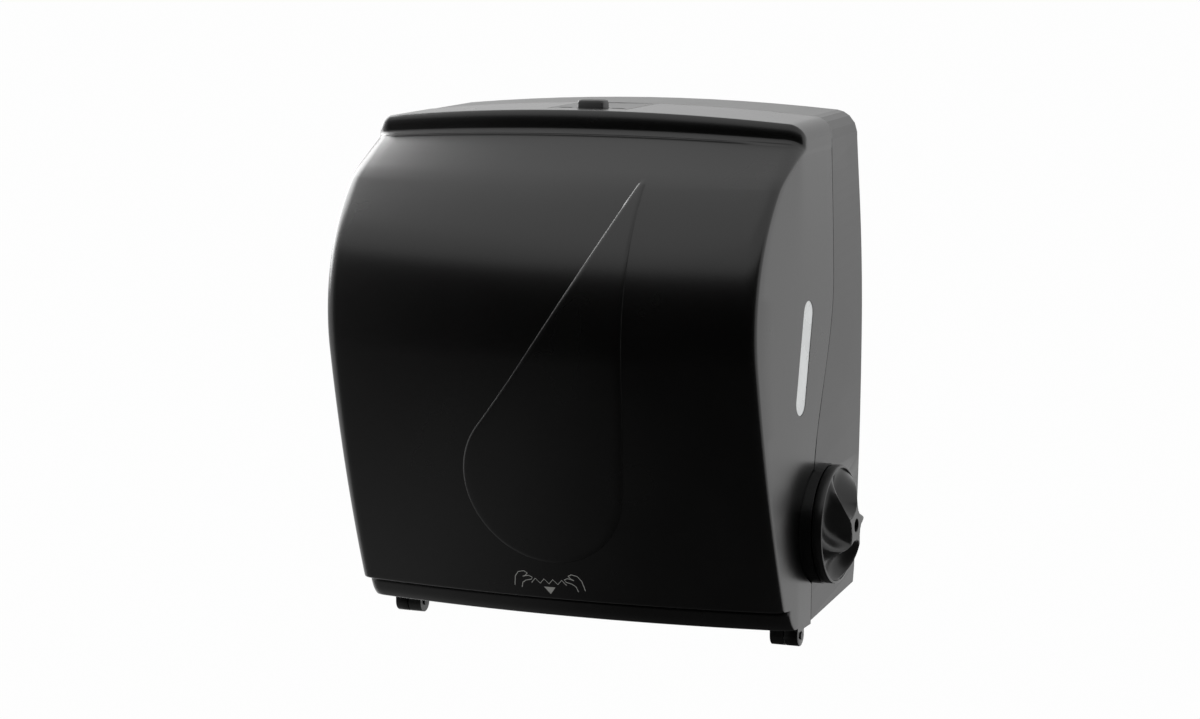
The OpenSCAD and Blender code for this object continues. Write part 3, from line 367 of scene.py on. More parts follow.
class Finish(Enum):
    """Finishes of this dispenser."""

    COVER = MouldedPlastic("cover_black", BLACK, Mould.POLISHED, drift=0.05)
    CASING = MouldedPlastic("casing_black", (0.0019, 0.002, 0.0019), Mould.SATIN, drift=0.08)
    KNOB = MouldedPlastic("knob_black", grey(0.003), Mould.SATIN)
    BUTTON = MouldedPlastic("button_black", grey(0.006), Mould.GRAINED, shine=0.6)
    FRAME_GREY = MouldedPlastic("frame_grey", (0.2, 0.21, 0.22), Mould.GRAINED)
    DRUM_GREY = MouldedPlastic("drum_dark_grey", (0.07, 0.07, 0.075), Mould.SATIN)
    HUB_GREY = MouldedPlastic("hub_light_grey", (0.5, 0.51, 0.52), Mould.SATIN)
    NATURAL = MouldedPlastic("bush_natural", (0.7, 0.66, 0.55), Mould.POLISHED)
    WINDOW = FrostedWindow("window_frosted", (0.72, 0.74, 0.74))
    RUBBER = GripRubber("grip_rubber", grey(0.022))
    ZINC = WorkedMetal("zinc_steel", (0.58, 0.58, 0.59), Working.TURNED)
    WIRE = WorkedMetal("spring_wire", (0.48, 0.48, 0.5), Working.DRAWN)
    BLACKENED = WorkedMetal("blackened_steel", (0.03, 0.03, 0.031), Working.TURNED)
    BLADE = WorkedMetal("blade_steel", (0.64, 0.65, 0.66), Working.GROUND)
    INK = PrintedInk("sign_ink", (0.19, 0.19, 0.18), BLACK)

    def paint(self) -> Material:
        """The finish's material, made once."""
        return bpy.data.materials.get(self.value.name) or self.value.material()


def put(name: str, data: bpy.types.ID) -> Piece:
    """Makes an object and links it to the scene.

    Args:
        name: Name of the object.
        data: Its mesh, lamp or camera.

    Returns:
        The object.
    """
    made = bpy.data.objects.new(name, data)
    bpy.context.scene.collection.objects.link(made)
    return made


def settle(name: str, mesh: Mesh, finish: Finish, body: Optional[str],
           crease: float = 32.0) -> Piece:
    """Makes a piece of a mesh: object, finish, shading and the body that it rides on.

    Args:
        name: Name of the piece.
        mesh: Its mesh, in place.
        finish: Its finish.
        body: Body that it moves with, or none for a piece that rides on no body.
        crease: Angle above which an edge stays sharp, in degrees.

    Returns:
        The piece.
    """
    mesh.materials.clear()
    mesh.materials.append(finish.paint())
    mesh.polygons.foreach_set("use_smooth", np.ones(len(mesh.polygons), dtype=bool))
    mesh.set_sharp_from_angle(angle=math.radians(crease))
    mesh.update()
    piece = put(name, mesh)
    if body:
        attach(piece, body)
    LOG.info("%s rides on %s: %d faces", name, body or "two bodies", len(mesh.polygons))
    return piece


def weld(mesh: Mesh, distance: float) -> None:
    """Merges points that lie closer than a distance, and turns the faces of a closed mesh outwards.

    Args:
        mesh: Mesh to merge.
        distance: Distance in millimetres.
    """
    work = bmesh.new()
    work.from_mesh(mesh)
    bmesh.ops.remove_doubles(work, verts=work.verts, dist=distance * MM)
    if all(edge.is_manifold for edge in work.edges) and work.calc_volume(signed=True) < 0.0:
        bmesh.ops.reverse_faces(work, faces=work.faces)
    work.to_mesh(mesh)
    work.free()


class Sheets:
    """Grids of points gathered into one mesh."""

    def __init__(self) -> None:
        """Starts with nothing."""
        self.points: list[Array] = []
        self.faces: list[Array] = []
        self.count = 0

    def add(self, grid: Array, wrap_u: bool = False, wrap_v: bool = False, flip: bool = False,
            keep: Optional[Array] = None) -> "Sheets":
        """Adds a grid of points, joined to quads.

        The quad of a cell runs from (i, j) to (i + 1, j), (i + 1, j + 1) and (i, j + 1).

        Args:
            grid: Points as an array of (m, n, 3), in millimetres.
            wrap_u: Joins the last row to the first.
            wrap_v: Joins the last column to the first.
            flip: Turns the faces round.
            keep: Which cells are kept, as booleans.

        Returns:
            The sheets themselves, so that calls can be chained.
        """
        m, n = grid.shape[:2]
        index = np.arange(m * n).reshape(m, n) + self.count
        if wrap_u:
            index = np.vstack([index, index[:1]])
        if wrap_v:
            index = np.hstack([index, index[:, :1]])
        quads = np.stack([index[:-1, :-1], index[1:, :-1], index[1:, 1:], index[:-1, 1:]], axis=-1)
        if keep is not None:
            quads = quads[keep]
        quads = quads.reshape(-1, 4)
        self.faces.append(quads[:, ::-1] if flip else quads)
        self.points.append(grid.reshape(-1, 3))
        self.count += m * n
        return self

    def mesh(self, name: str, merge: float = 0.01, wall: float = 0.0) -> Mesh:
        """Joins the grids to one mesh.

        Args:
            name: Name of the mesh.
            merge: Distance under which points are merged, in millimetres.
            wall: Thickness given to the surface behind its faces, in millimetres.

        Returns:
            The mesh, in metres.
        """
        made = bpy.data.meshes.new(name)
        made.from_pydata((np.vstack(self.points) * MM).tolist(), [], np.vstack(self.faces).tolist())
        weld(made, merge)
        if not wall:
            return made
        bare = put(name + "_bare", made)
        solid = bare.modifiers.new("wall", "SOLIDIFY")
        solid.thickness = wall * MM
        solid.offset = -1.0
        solid.use_even_offset = False
        thick = bpy.data.meshes.new_from_object(bare.evaluated_get(bpy.context.evaluated_depsgraph_get()))
        bpy.data.objects.remove(bare)
        thick.name = name
        return thick


def smooth_step(value: Array) -> Array:
    """Cubic step from 0 to 1, flat at both ends."""
    u = np.clip(value, 0.0, 1.0)
    return u * u * (3.0 - 2.0 * u)


def once_round(count: int) -> Array:
    """Evenly spaced angles once round a circle."""
    return np.linspace(0.0, 2.0 * math.pi, count, endpoint=False)


def unit(rows: Array) -> Array:
    """Rows scaled to length one."""
    return rows / np.linalg.norm(rows, axis=1, keepdims=True)


def parabola(start: Array, bend: Array, end: Array, t: Array) -> Array:
    """Points at shares t of the parabola that leaves its start towards a bend and reaches its end from there."""
    return (1 - t) ** 2 * start + 2 * t * (1 - t) * bend + t ** 2 * end


def bent(corners: list[Pair], cuts: tuple[float, ...], steps: int) -> Array:
    """Line through corners, each rounded by a parabola that starts a cut before it and ends a cut after it.

    Args:
        corners: Points of the line.
        cuts: Length that the rounding takes at each inner corner.
        steps: Points of each rounding.

    Returns:
        Points as an array of (n, 2).
    """
    p = np.array(corners)
    share = np.linspace(0.0, 1.0, steps)[:, None]
    runs = [p[:1]]
    for before, at, after, length in zip(p[:-2], p[1:-1], p[2:], cuts):
        start = at + (before - at) * length / np.linalg.norm(before - at)
        end = at + (after - at) * length / np.linalg.norm(after - at)
        runs.append(parabola(start, at, end, share))
    return np.vstack([*runs, p[-1:]])


def rounded_box(low: Triple, high: Triple, radius: float) -> Array:
    """Box with rounded upright edges and bevelled top and bottom, as a section carried up.

    The section is a rectangle with quarter circles at its corners; it shrinks at both ends to make the bevels, and
    to a point that closes each end.

    Args:
        low: Lowest corner.
        high: Highest corner.
        radius: Rounding of the edges.

    Returns:
        Grid as (levels, round, 3), to be wrapped round.
    """
    a = once_round(24) + math.pi / 24
    lo, hi = np.array(low), np.array(high)
    middle, half = (lo + hi) / 2, (hi - lo) / 2
    closed, knee = 1e9, KNEE * radius
    inset = np.array([closed, radius, knee, 0.0, 0.0, knee, radius, closed])
    up = np.array([0.0, 0.0, knee, radius, 0.0, 0.0, 0.0, 0.0])
    z = lo[2] + up
    z[4:] = hi[2] - up[3::-1]
    hx = np.maximum(half[0] - radius - np.minimum(inset, half[0]), 0.0)
    hy = np.maximum(half[1] - radius - np.minimum(inset, half[1]), 0.0)
    r = np.where(inset == closed, 0.0, radius)
    x = middle[0] + hx[:, None] * np.sign(np.cos(a)) + r[:, None] * np.cos(a)
    y = middle[1] + hy[:, None] * np.sign(np.sin(a)) + r[:, None] * np.sin(a)
    return np.stack([x, y, np.broadcast_to(z[:, None], x.shape)], axis=-1)[::-1]


@dataclass(frozen=True)
class Drop:
    """Raised drop on the cover: a round end, two bent flanks and a rounded tip.

    The angles of a side are those of its lowest point, of leaving the round end and of meeting the tip, in degrees.
    """

    x: float = 1.0
    z: float = -73.5
    radius: float = 59.3
    tip_x: float = 66.4
    tip_z: float = 131.4
    tip_r: float = 2.5
    flank_l: float = 118.0
    height: float = 1.4
    round_w: float = 3.0
    step_w: float = 0.3
    step_h: float = 0.4
    fullness: float = 2.2
    left_angles: Triple = (270.0, 139.0, 158.0)
    right_angles: Triple = (-90.0, -7.0, 3.0)

    def side(self, low: float, leave: float, meet: float) -> Array:
        """One side of the outline from its lowest to its highest point.

        It is an arc of the round end, a parabola that starts along that arc's tangent, and an arc of the tip.

        Args:
            low: Angle of the lowest point, in degrees.
            leave: Angle where the flank leaves the round end.
            meet: Angle where it meets the tip.

        Returns:
            Points as (n, 2), across and up.
        """
        big, small = np.radians(np.linspace(low, leave, 44)), np.radians(np.linspace(meet, 90.0, 8))
        foot = np.array([self.x, self.z]) + self.radius * np.column_stack([np.cos(big), np.sin(big)])
        tip = np.array([self.tip_x, self.tip_z]) + self.tip_r * np.column_stack([np.cos(small), np.sin(small)])
        ahead = math.copysign(self.flank_l, leave - low)
        bend = foot[-1] + ahead * np.array([-math.sin(big[-1]), math.cos(big[-1])])
        t = np.linspace(0.0, 1.0, 30)[1:-1, None]
        return np.vstack([foot, parabola(foot[-1], bend, tip[0], t), tip])

    def sides(self) -> tuple[Array, Array]:
        """Left and right side of the outline."""
        return self.side(*self.left_angles), self.side(*self.right_angles)

    def chord(self, z: Array) -> tuple[Array, Array]:
        """Left and right end of the outline at each height, held inside its lowest and highest point."""
        left, right = self.sides()
        return np.interp(z, left[:, 1], left[:, 0]), np.interp(z, right[:, 1], right[:, 0])

    def distance(self, x: Array, z: Array) -> Array:
        """Signed distance to the outline, negative inside: the least one to any of its short straight runs.

        Args:
            x: Places across.
            z: Heights.

        Returns:
            Distances.
        """
        left, right = self.sides()
        loop = np.vstack([left, right[::-1]])
        run = np.diff(loop, axis=0)
        real = np.hypot(*run.T) > 1e-6
        run, begin = run[real], loop[:-1][real]
        u, v = x[..., None] - begin[:, 0], z[..., None] - begin[:, 1]
        t = np.clip((u * run[:, 0] + v * run[:, 1]) / (run ** 2).sum(axis=1), 0.0, 1.0)
        away = np.sqrt(((u - t * run[:, 0]) ** 2 + (v - t * run[:, 1]) ** 2).min(axis=-1))
        ends = self.chord(z)
        inside = (x > ends[0]) & (x < ends[1]) & (z > left[0, 1]) & (z < left[-1, 1])
        return np.where(inside, -away, away)

    def raised(self, x: Array, z: Array) -> Array:
        """Height over the front: a small steep step at the foot and a rounding up to the full height.

        Args:
            x: Places across.
            z: Heights.

        Returns:
            Heights over the front.
        """
        inward = -self.distance(x, z)
        step = np.clip(inward / self.step_w, 0.0, 1.0)
        rounding = 1.0 - (1.0 - np.clip(inward / self.round_w, 0.0, 1.0)) ** self.fullness
        return self.step_h * step + (self.height - self.step_h) * rounding


@dataclass(frozen=True)
class BodyForm:
    """Outer form shared by the casing and the cover."""

    width: float = 332.0
    top: float = 181.0
    bottom: float = 178.0
    draft: float = 0.03
    bow_top: float = 8.0
    bow_bottom: float = 4.6
    bow_z: float = 20.0
    bow_fade: float = 130.0
    crown_r: float = 1500.0
    crown_foot: float = 130.0
    top_fall: float = 0.032
    corner_r: float = 14.0
    corner_h: float = 10.0
    seam_top: float = 62.0
    seam_bottom: float = 100.0
    seam_z_top: float = 62.0
    seam_z_bottom: float = -85.0
    seam_gap: float = 0.8
    tongue_hw: float = 29.0
    tongue_d: float = 124.0
    belly_d: float = 219.5
    belly_r: float = 121.0
    belly_z: float = 38.0
    skirt_lean: float = 11.9
    skirt_r: float = 1000.0
    skirt_bottom: float = 161.0
    front_bow: float = 13.0
    lip_d: float = 129.0
    lip_back: float = 3.5
    lip_drop: float = 10.0
    lift: float = 1.8
    lip_lift: float = 1.2
    flatten: float = 6e-5
    foot_z: float = 159.4
    foot_d: float = 133.9
    arc_top: float = 57.0
    edge_r: float = 8.0
    rail_top: float = 151.0
    rail_bottom: float = 141.0
    drum_d: float = 84.8
    drum_z: float = -110.8
    notch_r: float = 43.3
    window_d: float = 120.5
    window_z: float = 11.0
    window_w: float = 18.4
    window_l: float = 62.0
    window_tilt: float = 12.8
    lift_from: float = 105.0
    lift_run: float = 65.0
    lift_hw: float = 165.0
    cove_start: Pair = (1.6, -0.1)
    cove_knee: Pair = (4.4, -0.2)
    cove_end: Pair = (1.5, -1.8)
    close_angles: tuple[float, float, int] = (45.0, 51.5, 16)
    skirt_end: float = -158.0
    close_rows: tuple[tuple[float, float, int], ...] = ((-121.0, -135.5, 30), (-66.0, -76.0, 8), (-152.0, -158.0, 6))
    ledge_line: tuple[Pair, ...] = ((1.4, 0.4), (4.0, 1.4), (11.5, -2.6))
    rail_foot: Pair = (1.6, -4.0)
    rail_cuts: tuple[float, ...] = (2.0, 1.0, 1.4, 3.4, 2.4)
    lip_bend: float = 1.4
    front_bend: float = 1.6
    groove_up: float = 0.8
    groove_w: float = 0.62
    groove_h: float = 0.75
    groove_left: Pair = (153.0, 7.0)
    groove_right: Pair = (136.0, 26.0)

    @property
    def lip_top(self) -> float:
        """Height of the lip's top at the lip's depth."""
        return self.top - self.top_fall * self.lip_d

    def side_bow(self, z: Array) -> Array:
        """Draw-in of the wall edge: a parabola up and another one down from its widest height.

        Args:
            z: Heights.

        Returns:
            The draw-in at each height.
        """
        up = self.bow_top * ((z - self.bow_z) / (self.top - self.bow_z)) ** 2
        down = self.bow_bottom * ((self.bow_z - z) / (self.bottom + self.bow_z)) ** 2
        return np.where(z > self.bow_z, up, down)

    def half_width(self, d: Array, z: Array) -> Array:
        """Half width at a depth and a height: half the full width, less the draft and the fading bow."""
        return self.width / 2 - self.draft * d - self.side_bow(z) * np.maximum(0.0, 1.0 - d / self.bow_fade)

    def seam_depth(self, z: Array) -> Array:
        """Depth of the seam at a height: a smooth step from the top depth to the bottom depth."""
        fall = (self.seam_z_top - z) / (self.seam_z_top - self.seam_z_bottom)
        return self.seam_top + (self.seam_bottom - self.seam_top) * smooth_step(fall)

    def skirt_depth(self, z: Array) -> Array:
        """Depth of the skirt: a long arc tangent to the belly's arc.

        Args:
            z: Heights.

        Returns:
            Depths.
        """
        lean = math.radians(self.skirt_lean)
        start_z = self.belly_z - self.belly_r * math.sin(lean)
        start_d = self.belly_d - self.belly_r + self.belly_r * math.cos(lean)
        centre_z = start_z + self.skirt_r * math.sin(lean)
        centre_d = start_d - self.skirt_r * math.cos(lean)
        return centre_d + np.sqrt(self.skirt_r ** 2 - (z - centre_z) ** 2)

    def rise(self, z: Array) -> Array:
        """Share of the top's crown that a row has: none below the crown's foot, all at the lip's top."""
        return np.maximum(0.0, (z - self.crown_foot) / (self.lip_top - self.crown_foot))

    def lifted(self, p: Array) -> Array:
        """Raises the top a little, more so at the lip's middle and the sides, fading out below it.

        Args:
            p: Points as (..., 3).

        Returns:
            The raised points.
        """
        x, d = p[..., 0], -p[..., 1]
        at_lip = np.clip(d / self.lip_d, 0.0, 1.0) * (1.0 - (x / self.lift_hw) ** 2)
        more = self.flatten * x ** 2 + self.lip_lift * at_lip
        up = smooth_step((p[..., 2] - self.lift_from) / self.lift_run) * (self.lift + more)
        return p + up[..., None] * np.array([0.0, 0.0, 1.0])

    def profile(self) -> Array:
        """Side profile of the cover from the lip down to the rail.

        A quarter ellipse, a short face and a hollow parabola make the lip, a straight run leads from its foot into
        the belly's arc, the skirt's long arc follows, and a rounded line makes the ledge and the rail.

        Returns:
            Rows of (height, depth).
        """
        a = np.radians(90.0 - 90.0 * np.linspace(0.0, 1.0, 16) ** self.lip_bend)
        lip = np.column_stack([self.lip_top - self.lip_drop * (1.0 - np.sin(a)),
                               self.lip_d - self.lip_back * (1.0 - np.cos(a))])
        centre_d = self.belly_d - self.belly_r
        top = math.radians(self.arc_top)
        foot = np.array([self.foot_z, self.foot_d])
        meet = np.array([self.belly_z + self.belly_r * math.sin(top), centre_d + self.belly_r * math.cos(top)])
        start, knee, end = lip[-1] - self.cove_start, lip[-1] - self.cove_knee, foot + self.cove_end
        cove = parabola(start, knee, end, np.linspace(0.0, 1.0, 12)[:, None])
        edge = end + (foot - end) * np.linspace(0.0, 1.0, 13)[1:, None]
        share = np.linspace(0.0, 1.0, 30)[1:-1, None] ** self.front_bend
        front = foot + (meet - foot) * share
        angles = np.concatenate([np.linspace(self.arc_top, -self.skirt_lean, 62), np.linspace(*self.close_angles)])
        b = np.radians(np.unique(np.round(angles, 3))[::-1])
        belly = np.column_stack([self.belly_z + self.belly_r * np.sin(b), centre_d + self.belly_r * np.cos(b)])
        even_z = np.linspace(belly[-1, 0], self.skirt_end, 62)[1:]
        skirt_z = np.concatenate([even_z, *(np.linspace(*run) for run in self.close_rows)])
        skirt_z = np.unique(np.round(skirt_z, 2))[::-1]
        skirt = np.column_stack([skirt_z, self.skirt_depth(skirt_z)])
        low = -self.skirt_bottom
        edge_d = float(self.skirt_depth(np.array(low)))
        corners = [(skirt[-1, 0], skirt[-1, 1]), (low, edge_d)]
        corners += [(low - down, self.rail_top + out) for down, out in self.ledge_line]
        corners += [(-self.bottom, self.rail_bottom + out) for out in self.rail_foot]
        rail = bent(corners, self.rail_cuts, 6)
        return np.vstack([lip, cove, edge, front, belly, skirt, rail[1:]])

    def groove(self, x: Array, z: Array) -> Array:
        """Depth of the fine groove under the lip: a narrow bell across it that fades towards its ends.

        Args:
            x: Places across.
            z: Heights.

        Returns:
            Depths.
        """
        across = np.exp(-((z - (self.foot_z + self.groove_up)) / self.groove_w) ** 2)
        (left, left_run), (right, right_run) = self.groove_left, self.groove_right
        fade = smooth_step((x + left) / left_run) * smooth_step((right - x) / right_run)
        return self.groove_h * across * fade

    def wall(self, p: Array, row_z: Array, d: Array) -> Array:
        """Points of a side or top wall behind points of the front's rim.

        Each point goes straight back to its depth, its place across scaled with the half width there, and the top
        rises with its slope.

        Args:
            p: Points of the rim, as (n, 3).
            row_z: Heights of their profile rows, as (n,).
            d: Depths, as (n, m).

        Returns:
            Points as (n, m, 3).
        """
        x, depth, z = p[:, :1], -p[:, 1:2], p[:, 2:]
        scale = self.half_width(d, z) / self.half_width(depth, z)
        lifted = z + self.rise(row_z)[:, None] * self.top_fall * (depth - d)
        return np.stack([x * scale, -d, lifted], axis=-1)


@dataclass(frozen=True)
class Cover:
    """Front cover: shell with the drop, lip, ledge and rail, its hinge lugs, its catch and the pull sign."""

    form: BodyForm = BodyForm()
    drop: Drop = Drop()
    crease: float = 38.0
    wall_t: float = 2.6
    levels: int = 14
    tongue_level: int = 3
    column_steps: tuple[int, ...] = (20, 26, 28, 26, 18)
    least_half: float = 5.5
    flank_w: float = 2.3
    flank_slope: float = 6.0
    flank_share: float = 0.84
    held_z: float = 138.0
    held_run: float = 14.0
    bow_hw: float = 150.0
    crown_hw: float = 155.0
    tongue_x: float = 70.0
    tongue_run: float = 35.0
    patch_low: float = -40.0
    patch_high: float = 62.0
    patch_steps: tuple[float, ...] = (0.0, 0.04, 0.12, 0.25, 0.45, 0.7, 1.0)
    hinge_d: float = 108.0
    hinge_z: float = -188.0
    lug_x: float = 147.0
    lug_w: float = 10.0
    lug_r: float = 7.5
    lug_top: float = -174.0
    lug_bevel: float = 0.7
    pin_r: float = 2.55
    foot_w: float = 13.0
    foot_low: float = -177.9
    foot_high: float = -172.0
    foot_front: float = 1.5
    foot_rear: float = 7.0
    foot_r: float = 0.8
    latch_d: float = 111.0
    guide_h: float = 26.0
    catch_up: float = 6.0
    catch_hw: float = 8.0
    catch_front: float = 149.5
    catch_rear: float = 122.0
    catch_t: float = 3.0
    catch_r: float = 0.6
    sign_x: float = -4.5
    sign_z: float = -146.5
    sign_inset: float = 10.0
    stroke_w: float = 0.6
    ink_lift: float = 0.06
    sign_merge: float = 0.0001

    def columns(self, z: Array, flat: Array) -> Array:
        """Places across the front for each row, close together on both flanks of the drop.

        Args:
            z: Heights of the rows.
            flat: Half width of the front between its rounded side edges.

        Returns:
            Places as (rows, columns).
        """
        left, right = self.drop.chord(z)
        slope = [np.abs(above - below) for above, below in zip(self.drop.chord(z + 0.5), self.drop.chord(z - 0.5))]
        middle, half = (left + right) / 2, np.maximum(self.least_half, (right - left) / 2)
        left, right = middle - half, middle + half
        wide = [self.flank_w * np.sqrt(1.0 + np.minimum(s, self.flank_slope) ** 2) for s in slope]
        near = [np.minimum(w, self.flank_share * half) for w in wide]
        knots = np.stack([-flat, left - near[0], left + near[0], right - near[1], right + near[1], flat], axis=1)
        runs = [knots[:, :1]]
        for i, steps in enumerate(self.column_steps):
            share = np.linspace(0.0, 1.0, steps + 1)[1:]
            runs.append(knots[:, i:i + 1] + (knots[:, i + 1:i + 2] - knots[:, i:i + 1]) * share)
        across = np.hstack(runs)
        edge = self.form.tongue_hw + self.form.seam_gap
        held = smooth_step((z - self.held_z) / self.held_run)
        for target in (-edge, edge):
            c = int(np.argmin(np.abs(across[0] - target)))
            across[:, c] += (target - across[:, c]) * held
        return across

    def front(self, rows: Array) -> Array:
        """Front of the cover.

        Across, a parabola bows the middle forward, and a quarter ellipse that starts with the parabola's slope turns
        each side edge. Down, the rows follow the profile; the crown lowers them towards the sides, more so at the top
        corners. The drop is raised and the lip's groove is cut along the depth.

        Args:
            rows: Profile rows.

        Returns:
            Points as (rows, columns, 3).
        """
        f = self.form
        z, d = rows[:, :1], rows[:, 1:]
        w = f.half_width(d, z)
        turn = math.atan(2.0 * f.front_bow / self.bow_hw * f.corner_r / f.edge_r)
        flat = w - f.corner_r * (1.0 - math.sin(turn))
        x = self.columns(rows[:, 0], flat[:, 0])
        a = np.linspace(turn, 0.5 * math.pi, 10)[1:]
        dip_turn = math.atan(self.crown_hw / f.crown_r * f.corner_r / f.corner_h)
        b = dip_turn + (a - turn) * (0.5 * math.pi - dip_turn) / (0.5 * math.pi - turn)
        out = flat + f.corner_r * (np.sin(a) - math.sin(turn))
        back = np.broadcast_to(f.edge_r * (math.cos(turn) - np.cos(a)), out.shape)
        dip = np.broadcast_to(f.corner_h * (math.cos(dip_turn) - np.cos(b)), out.shape)
        none = np.zeros_like(x)
        across = np.hstack([-out[:, ::-1], x, out])
        level = np.broadcast_to(z, x.shape)
        relief = self.drop.raised(x, level) - f.groove(x, level)
        bow = f.front_bow * (1.0 - (x / flat) ** 2) + relief
        depth = d + np.hstack([-back[:, ::-1], bow, -back])
        rise = f.rise(z)
        fall = rise * across ** 2 / (2.0 * f.crown_r) + rise ** 2 * np.hstack([dip[:, ::-1], none, dip])
        return np.stack([across, -depth, z - fall], axis=-1)

    def shell(self) -> Mesh:
        """Shell of the cover: the front, then walls from its rim back to the seam.

        The rim runs up the left edge, over the top and down the right edge. Each wall point is carried straight back
        to the seam, which stands forward round the knob and before the casing's tongue; round each sight window the
        wall is a ring of points on lines from the window's outline to the edge of a patch.

        Returns:
            The mesh.
        """
        f = self.form
        rows = f.profile()
        front = self.front(rows)
        sheets = Sheets()
        sheets.add(f.lifted(front))
        n_row, n_col = front.shape[:2]
        rim = np.vstack([front[::-1, 0], front[0, 1:-1], front[:, -1]])
        row_z = np.concatenate([rows[::-1, 0], np.full(n_col - 2, rows[0, 0]), rows[:, 0]])
        start = -rim[:, 1]
        end = f.seam_depth(rim[:, 2]) + f.seam_gap / 2
        ring = np.sqrt(np.maximum(0.0, f.notch_r ** 2 - (rim[:, 2] - f.drum_z) ** 2))
        notch = np.where((rim[:, 0] > 0.0) & (ring > 0.0), f.drum_d + ring, 0.0)
        end = np.maximum(end, notch)
        share = np.linspace(0.0, 1.0, self.levels + 1)
        depth = start[:, None] + (end - start)[:, None] * share
        on_top = slice(n_row, n_row + n_col - 2)
        stop = f.tongue_d + f.seam_gap
        near = np.linspace(0.0, 1.0, self.tongue_level + 1)
        far = np.linspace(0.0, 1.0, self.levels - self.tongue_level + 1)[1:]
        stopped = np.hstack([start[on_top, None] + (stop - start[on_top, None]) * near,
                             stop + (end[on_top, None] - stop) * far])
        held = smooth_step((self.tongue_x - np.abs(rim[on_top, :1])) / self.tongue_run)
        depth[on_top] += (stopped - depth[on_top]) * held
        wall = f.wall(rim, row_z, depth)
        keep = np.ones((len(rim) - 1, self.levels), dtype=bool)
        edge = f.tongue_hw + f.seam_gap + 0.01
        order = np.arange(len(rim))
        middle = (np.abs(rim[:, 0]) < edge) & (order >= n_row) & (order < n_row + n_col)
        keep[np.ix_(middle[:-1] & middle[1:], np.arange(self.levels) >= self.tongue_level)] = False
        spans = []
        for first, last in ((0, n_row), (n_row + n_col - 2, len(rim))):
            z = rim[first:last, 2]
            inside = np.flatnonzero((z > self.patch_low) & (z < self.patch_high)) + first
            k0, k1 = int(inside[0]), int(inside[-1])
            keep[k0:k1, :] = False
            spans.append((k0, k1))
        sheets.add(f.lifted(wall), keep=keep)
        for k0, k1 in spans:
            sheets.add(self.window_patch(wall[k0:k1 + 1]), wrap_u=True)
        return sheets.mesh("cover_shell", wall=self.wall_t)

    def window_patch(self, wall: Array) -> Array:
        """Ring of the side wall round a sight window.

        The outline is a bar with round ends, walked at an even pace from the middle of one end; each point of the
        patch's edge is joined to the point of the outline that has the same share of the way round.

        Args:
            wall: Grid of the wall that the patch replaces, as (along, levels, 3).

        Returns:
            Ring as (round, steps, 3), from the outline out to the patch's edge.
        """
        f = self.form
        loop = np.vstack([wall[:-1, 0], wall[-1, :-1], wall[:0:-1, -1], wall[0, :0:-1]])
        tilt = math.radians(f.window_tilt)
        half, reach = f.window_w / 2, f.window_l / 2
        turn = np.linspace(0.0, 2.0 * math.pi, 721)
        end = np.sign(wall[-1, 0, 2] - f.window_z)
        across = -half * np.sin(turn)
        along = end * (half * np.cos(turn) + reach * np.sign(np.cos(turn)))
        way = np.concatenate([[0.0], np.cumsum(np.hypot(np.diff(across), np.diff(along)))])
        first = len(wall) - 1 + 0.5 * (wall.shape[1] - 1)
        at = (np.arange(len(loop)) - first) / len(loop) % 1.0 * way[-1]
        a, b = np.interp(at, way, across), np.interp(at, way, along)
        u, v = a * math.cos(tilt) - b * math.sin(tilt), a * math.sin(tilt) + b * math.cos(tilt)
        loop, u, v = loop[::-1], u[::-1, None], v[::-1, None]
        share = np.array(self.patch_steps)
        d = f.window_d + u + (-loop[:, 1:2] - f.window_d - u) * share
        z = f.window_z + v + (loop[:, 2:] - f.window_z - v) * share
        side = np.sign(loop[:1, 0])
        drawn = np.abs(loop[:, 0]) - f.half_width(-loop[:, 1], loop[:, 2])
        return np.stack([side * (f.half_width(d, z) + drawn[:, None]), -d, z], axis=-1)

    def lug(self, side: float) -> Array:
        """Hinge lug: a plate with a round foot and a bore, its section carried once round the bore.

        The outer radius is that of the round foot below the axis; above it the sides run straight up to the top.

        Args:
            side: 1 for the right lug, -1 for the left one.

        Returns:
            Closed grid as (round, section, 3).
        """
        a, tiny = once_round(72), 1e-9
        up = (self.lug_top - self.hinge_z) / np.maximum(np.sin(a), tiny)
        straight = np.minimum(self.lug_r / np.maximum(np.abs(np.cos(a)), tiny), up)
        outer = np.where(np.sin(a) > 0.0, straight, self.lug_r)[:, None]
        bevel, knee, w = self.lug_bevel, KNEE * self.lug_bevel, self.lug_w
        inner = np.full_like(outer, self.pin_r)
        radius = np.hstack([inner, inner + bevel, outer - bevel, outer - knee, outer,
                            outer, outer - knee, outer - bevel, inner + bevel, inner])
        x = np.array([bevel, 0.0, 0.0, knee, bevel, w - bevel, w - knee, w, w, w - bevel]) + self.lug_x
        along = np.broadcast_to(side * x, radius.shape)
        return np.stack([along, -self.hinge_d - radius * np.cos(a)[:, None],
                         self.hinge_z + radius * np.sin(a)[:, None]], axis=-1)

    def lugs(self) -> Mesh:
        """Both hinge lugs and the feet that join them to the rail's inside.

        Returns:
            The mesh.
        """
        sheets = Sheets()
        for side in (1.0, -1.0):
            sheets.add(self.lug(side), wrap_u=True, wrap_v=True, flip=side > 0)
            foot = rounded_box((self.lug_x, self.foot_front - self.form.rail_bottom, self.foot_low),
                               (self.lug_x + self.foot_w, self.foot_rear - self.hinge_d, self.foot_high), self.foot_r)
            foot[..., 0] *= side
            sheets.add(foot, wrap_v=True, flip=side < 0)
        return sheets.mesh("cover_lugs")

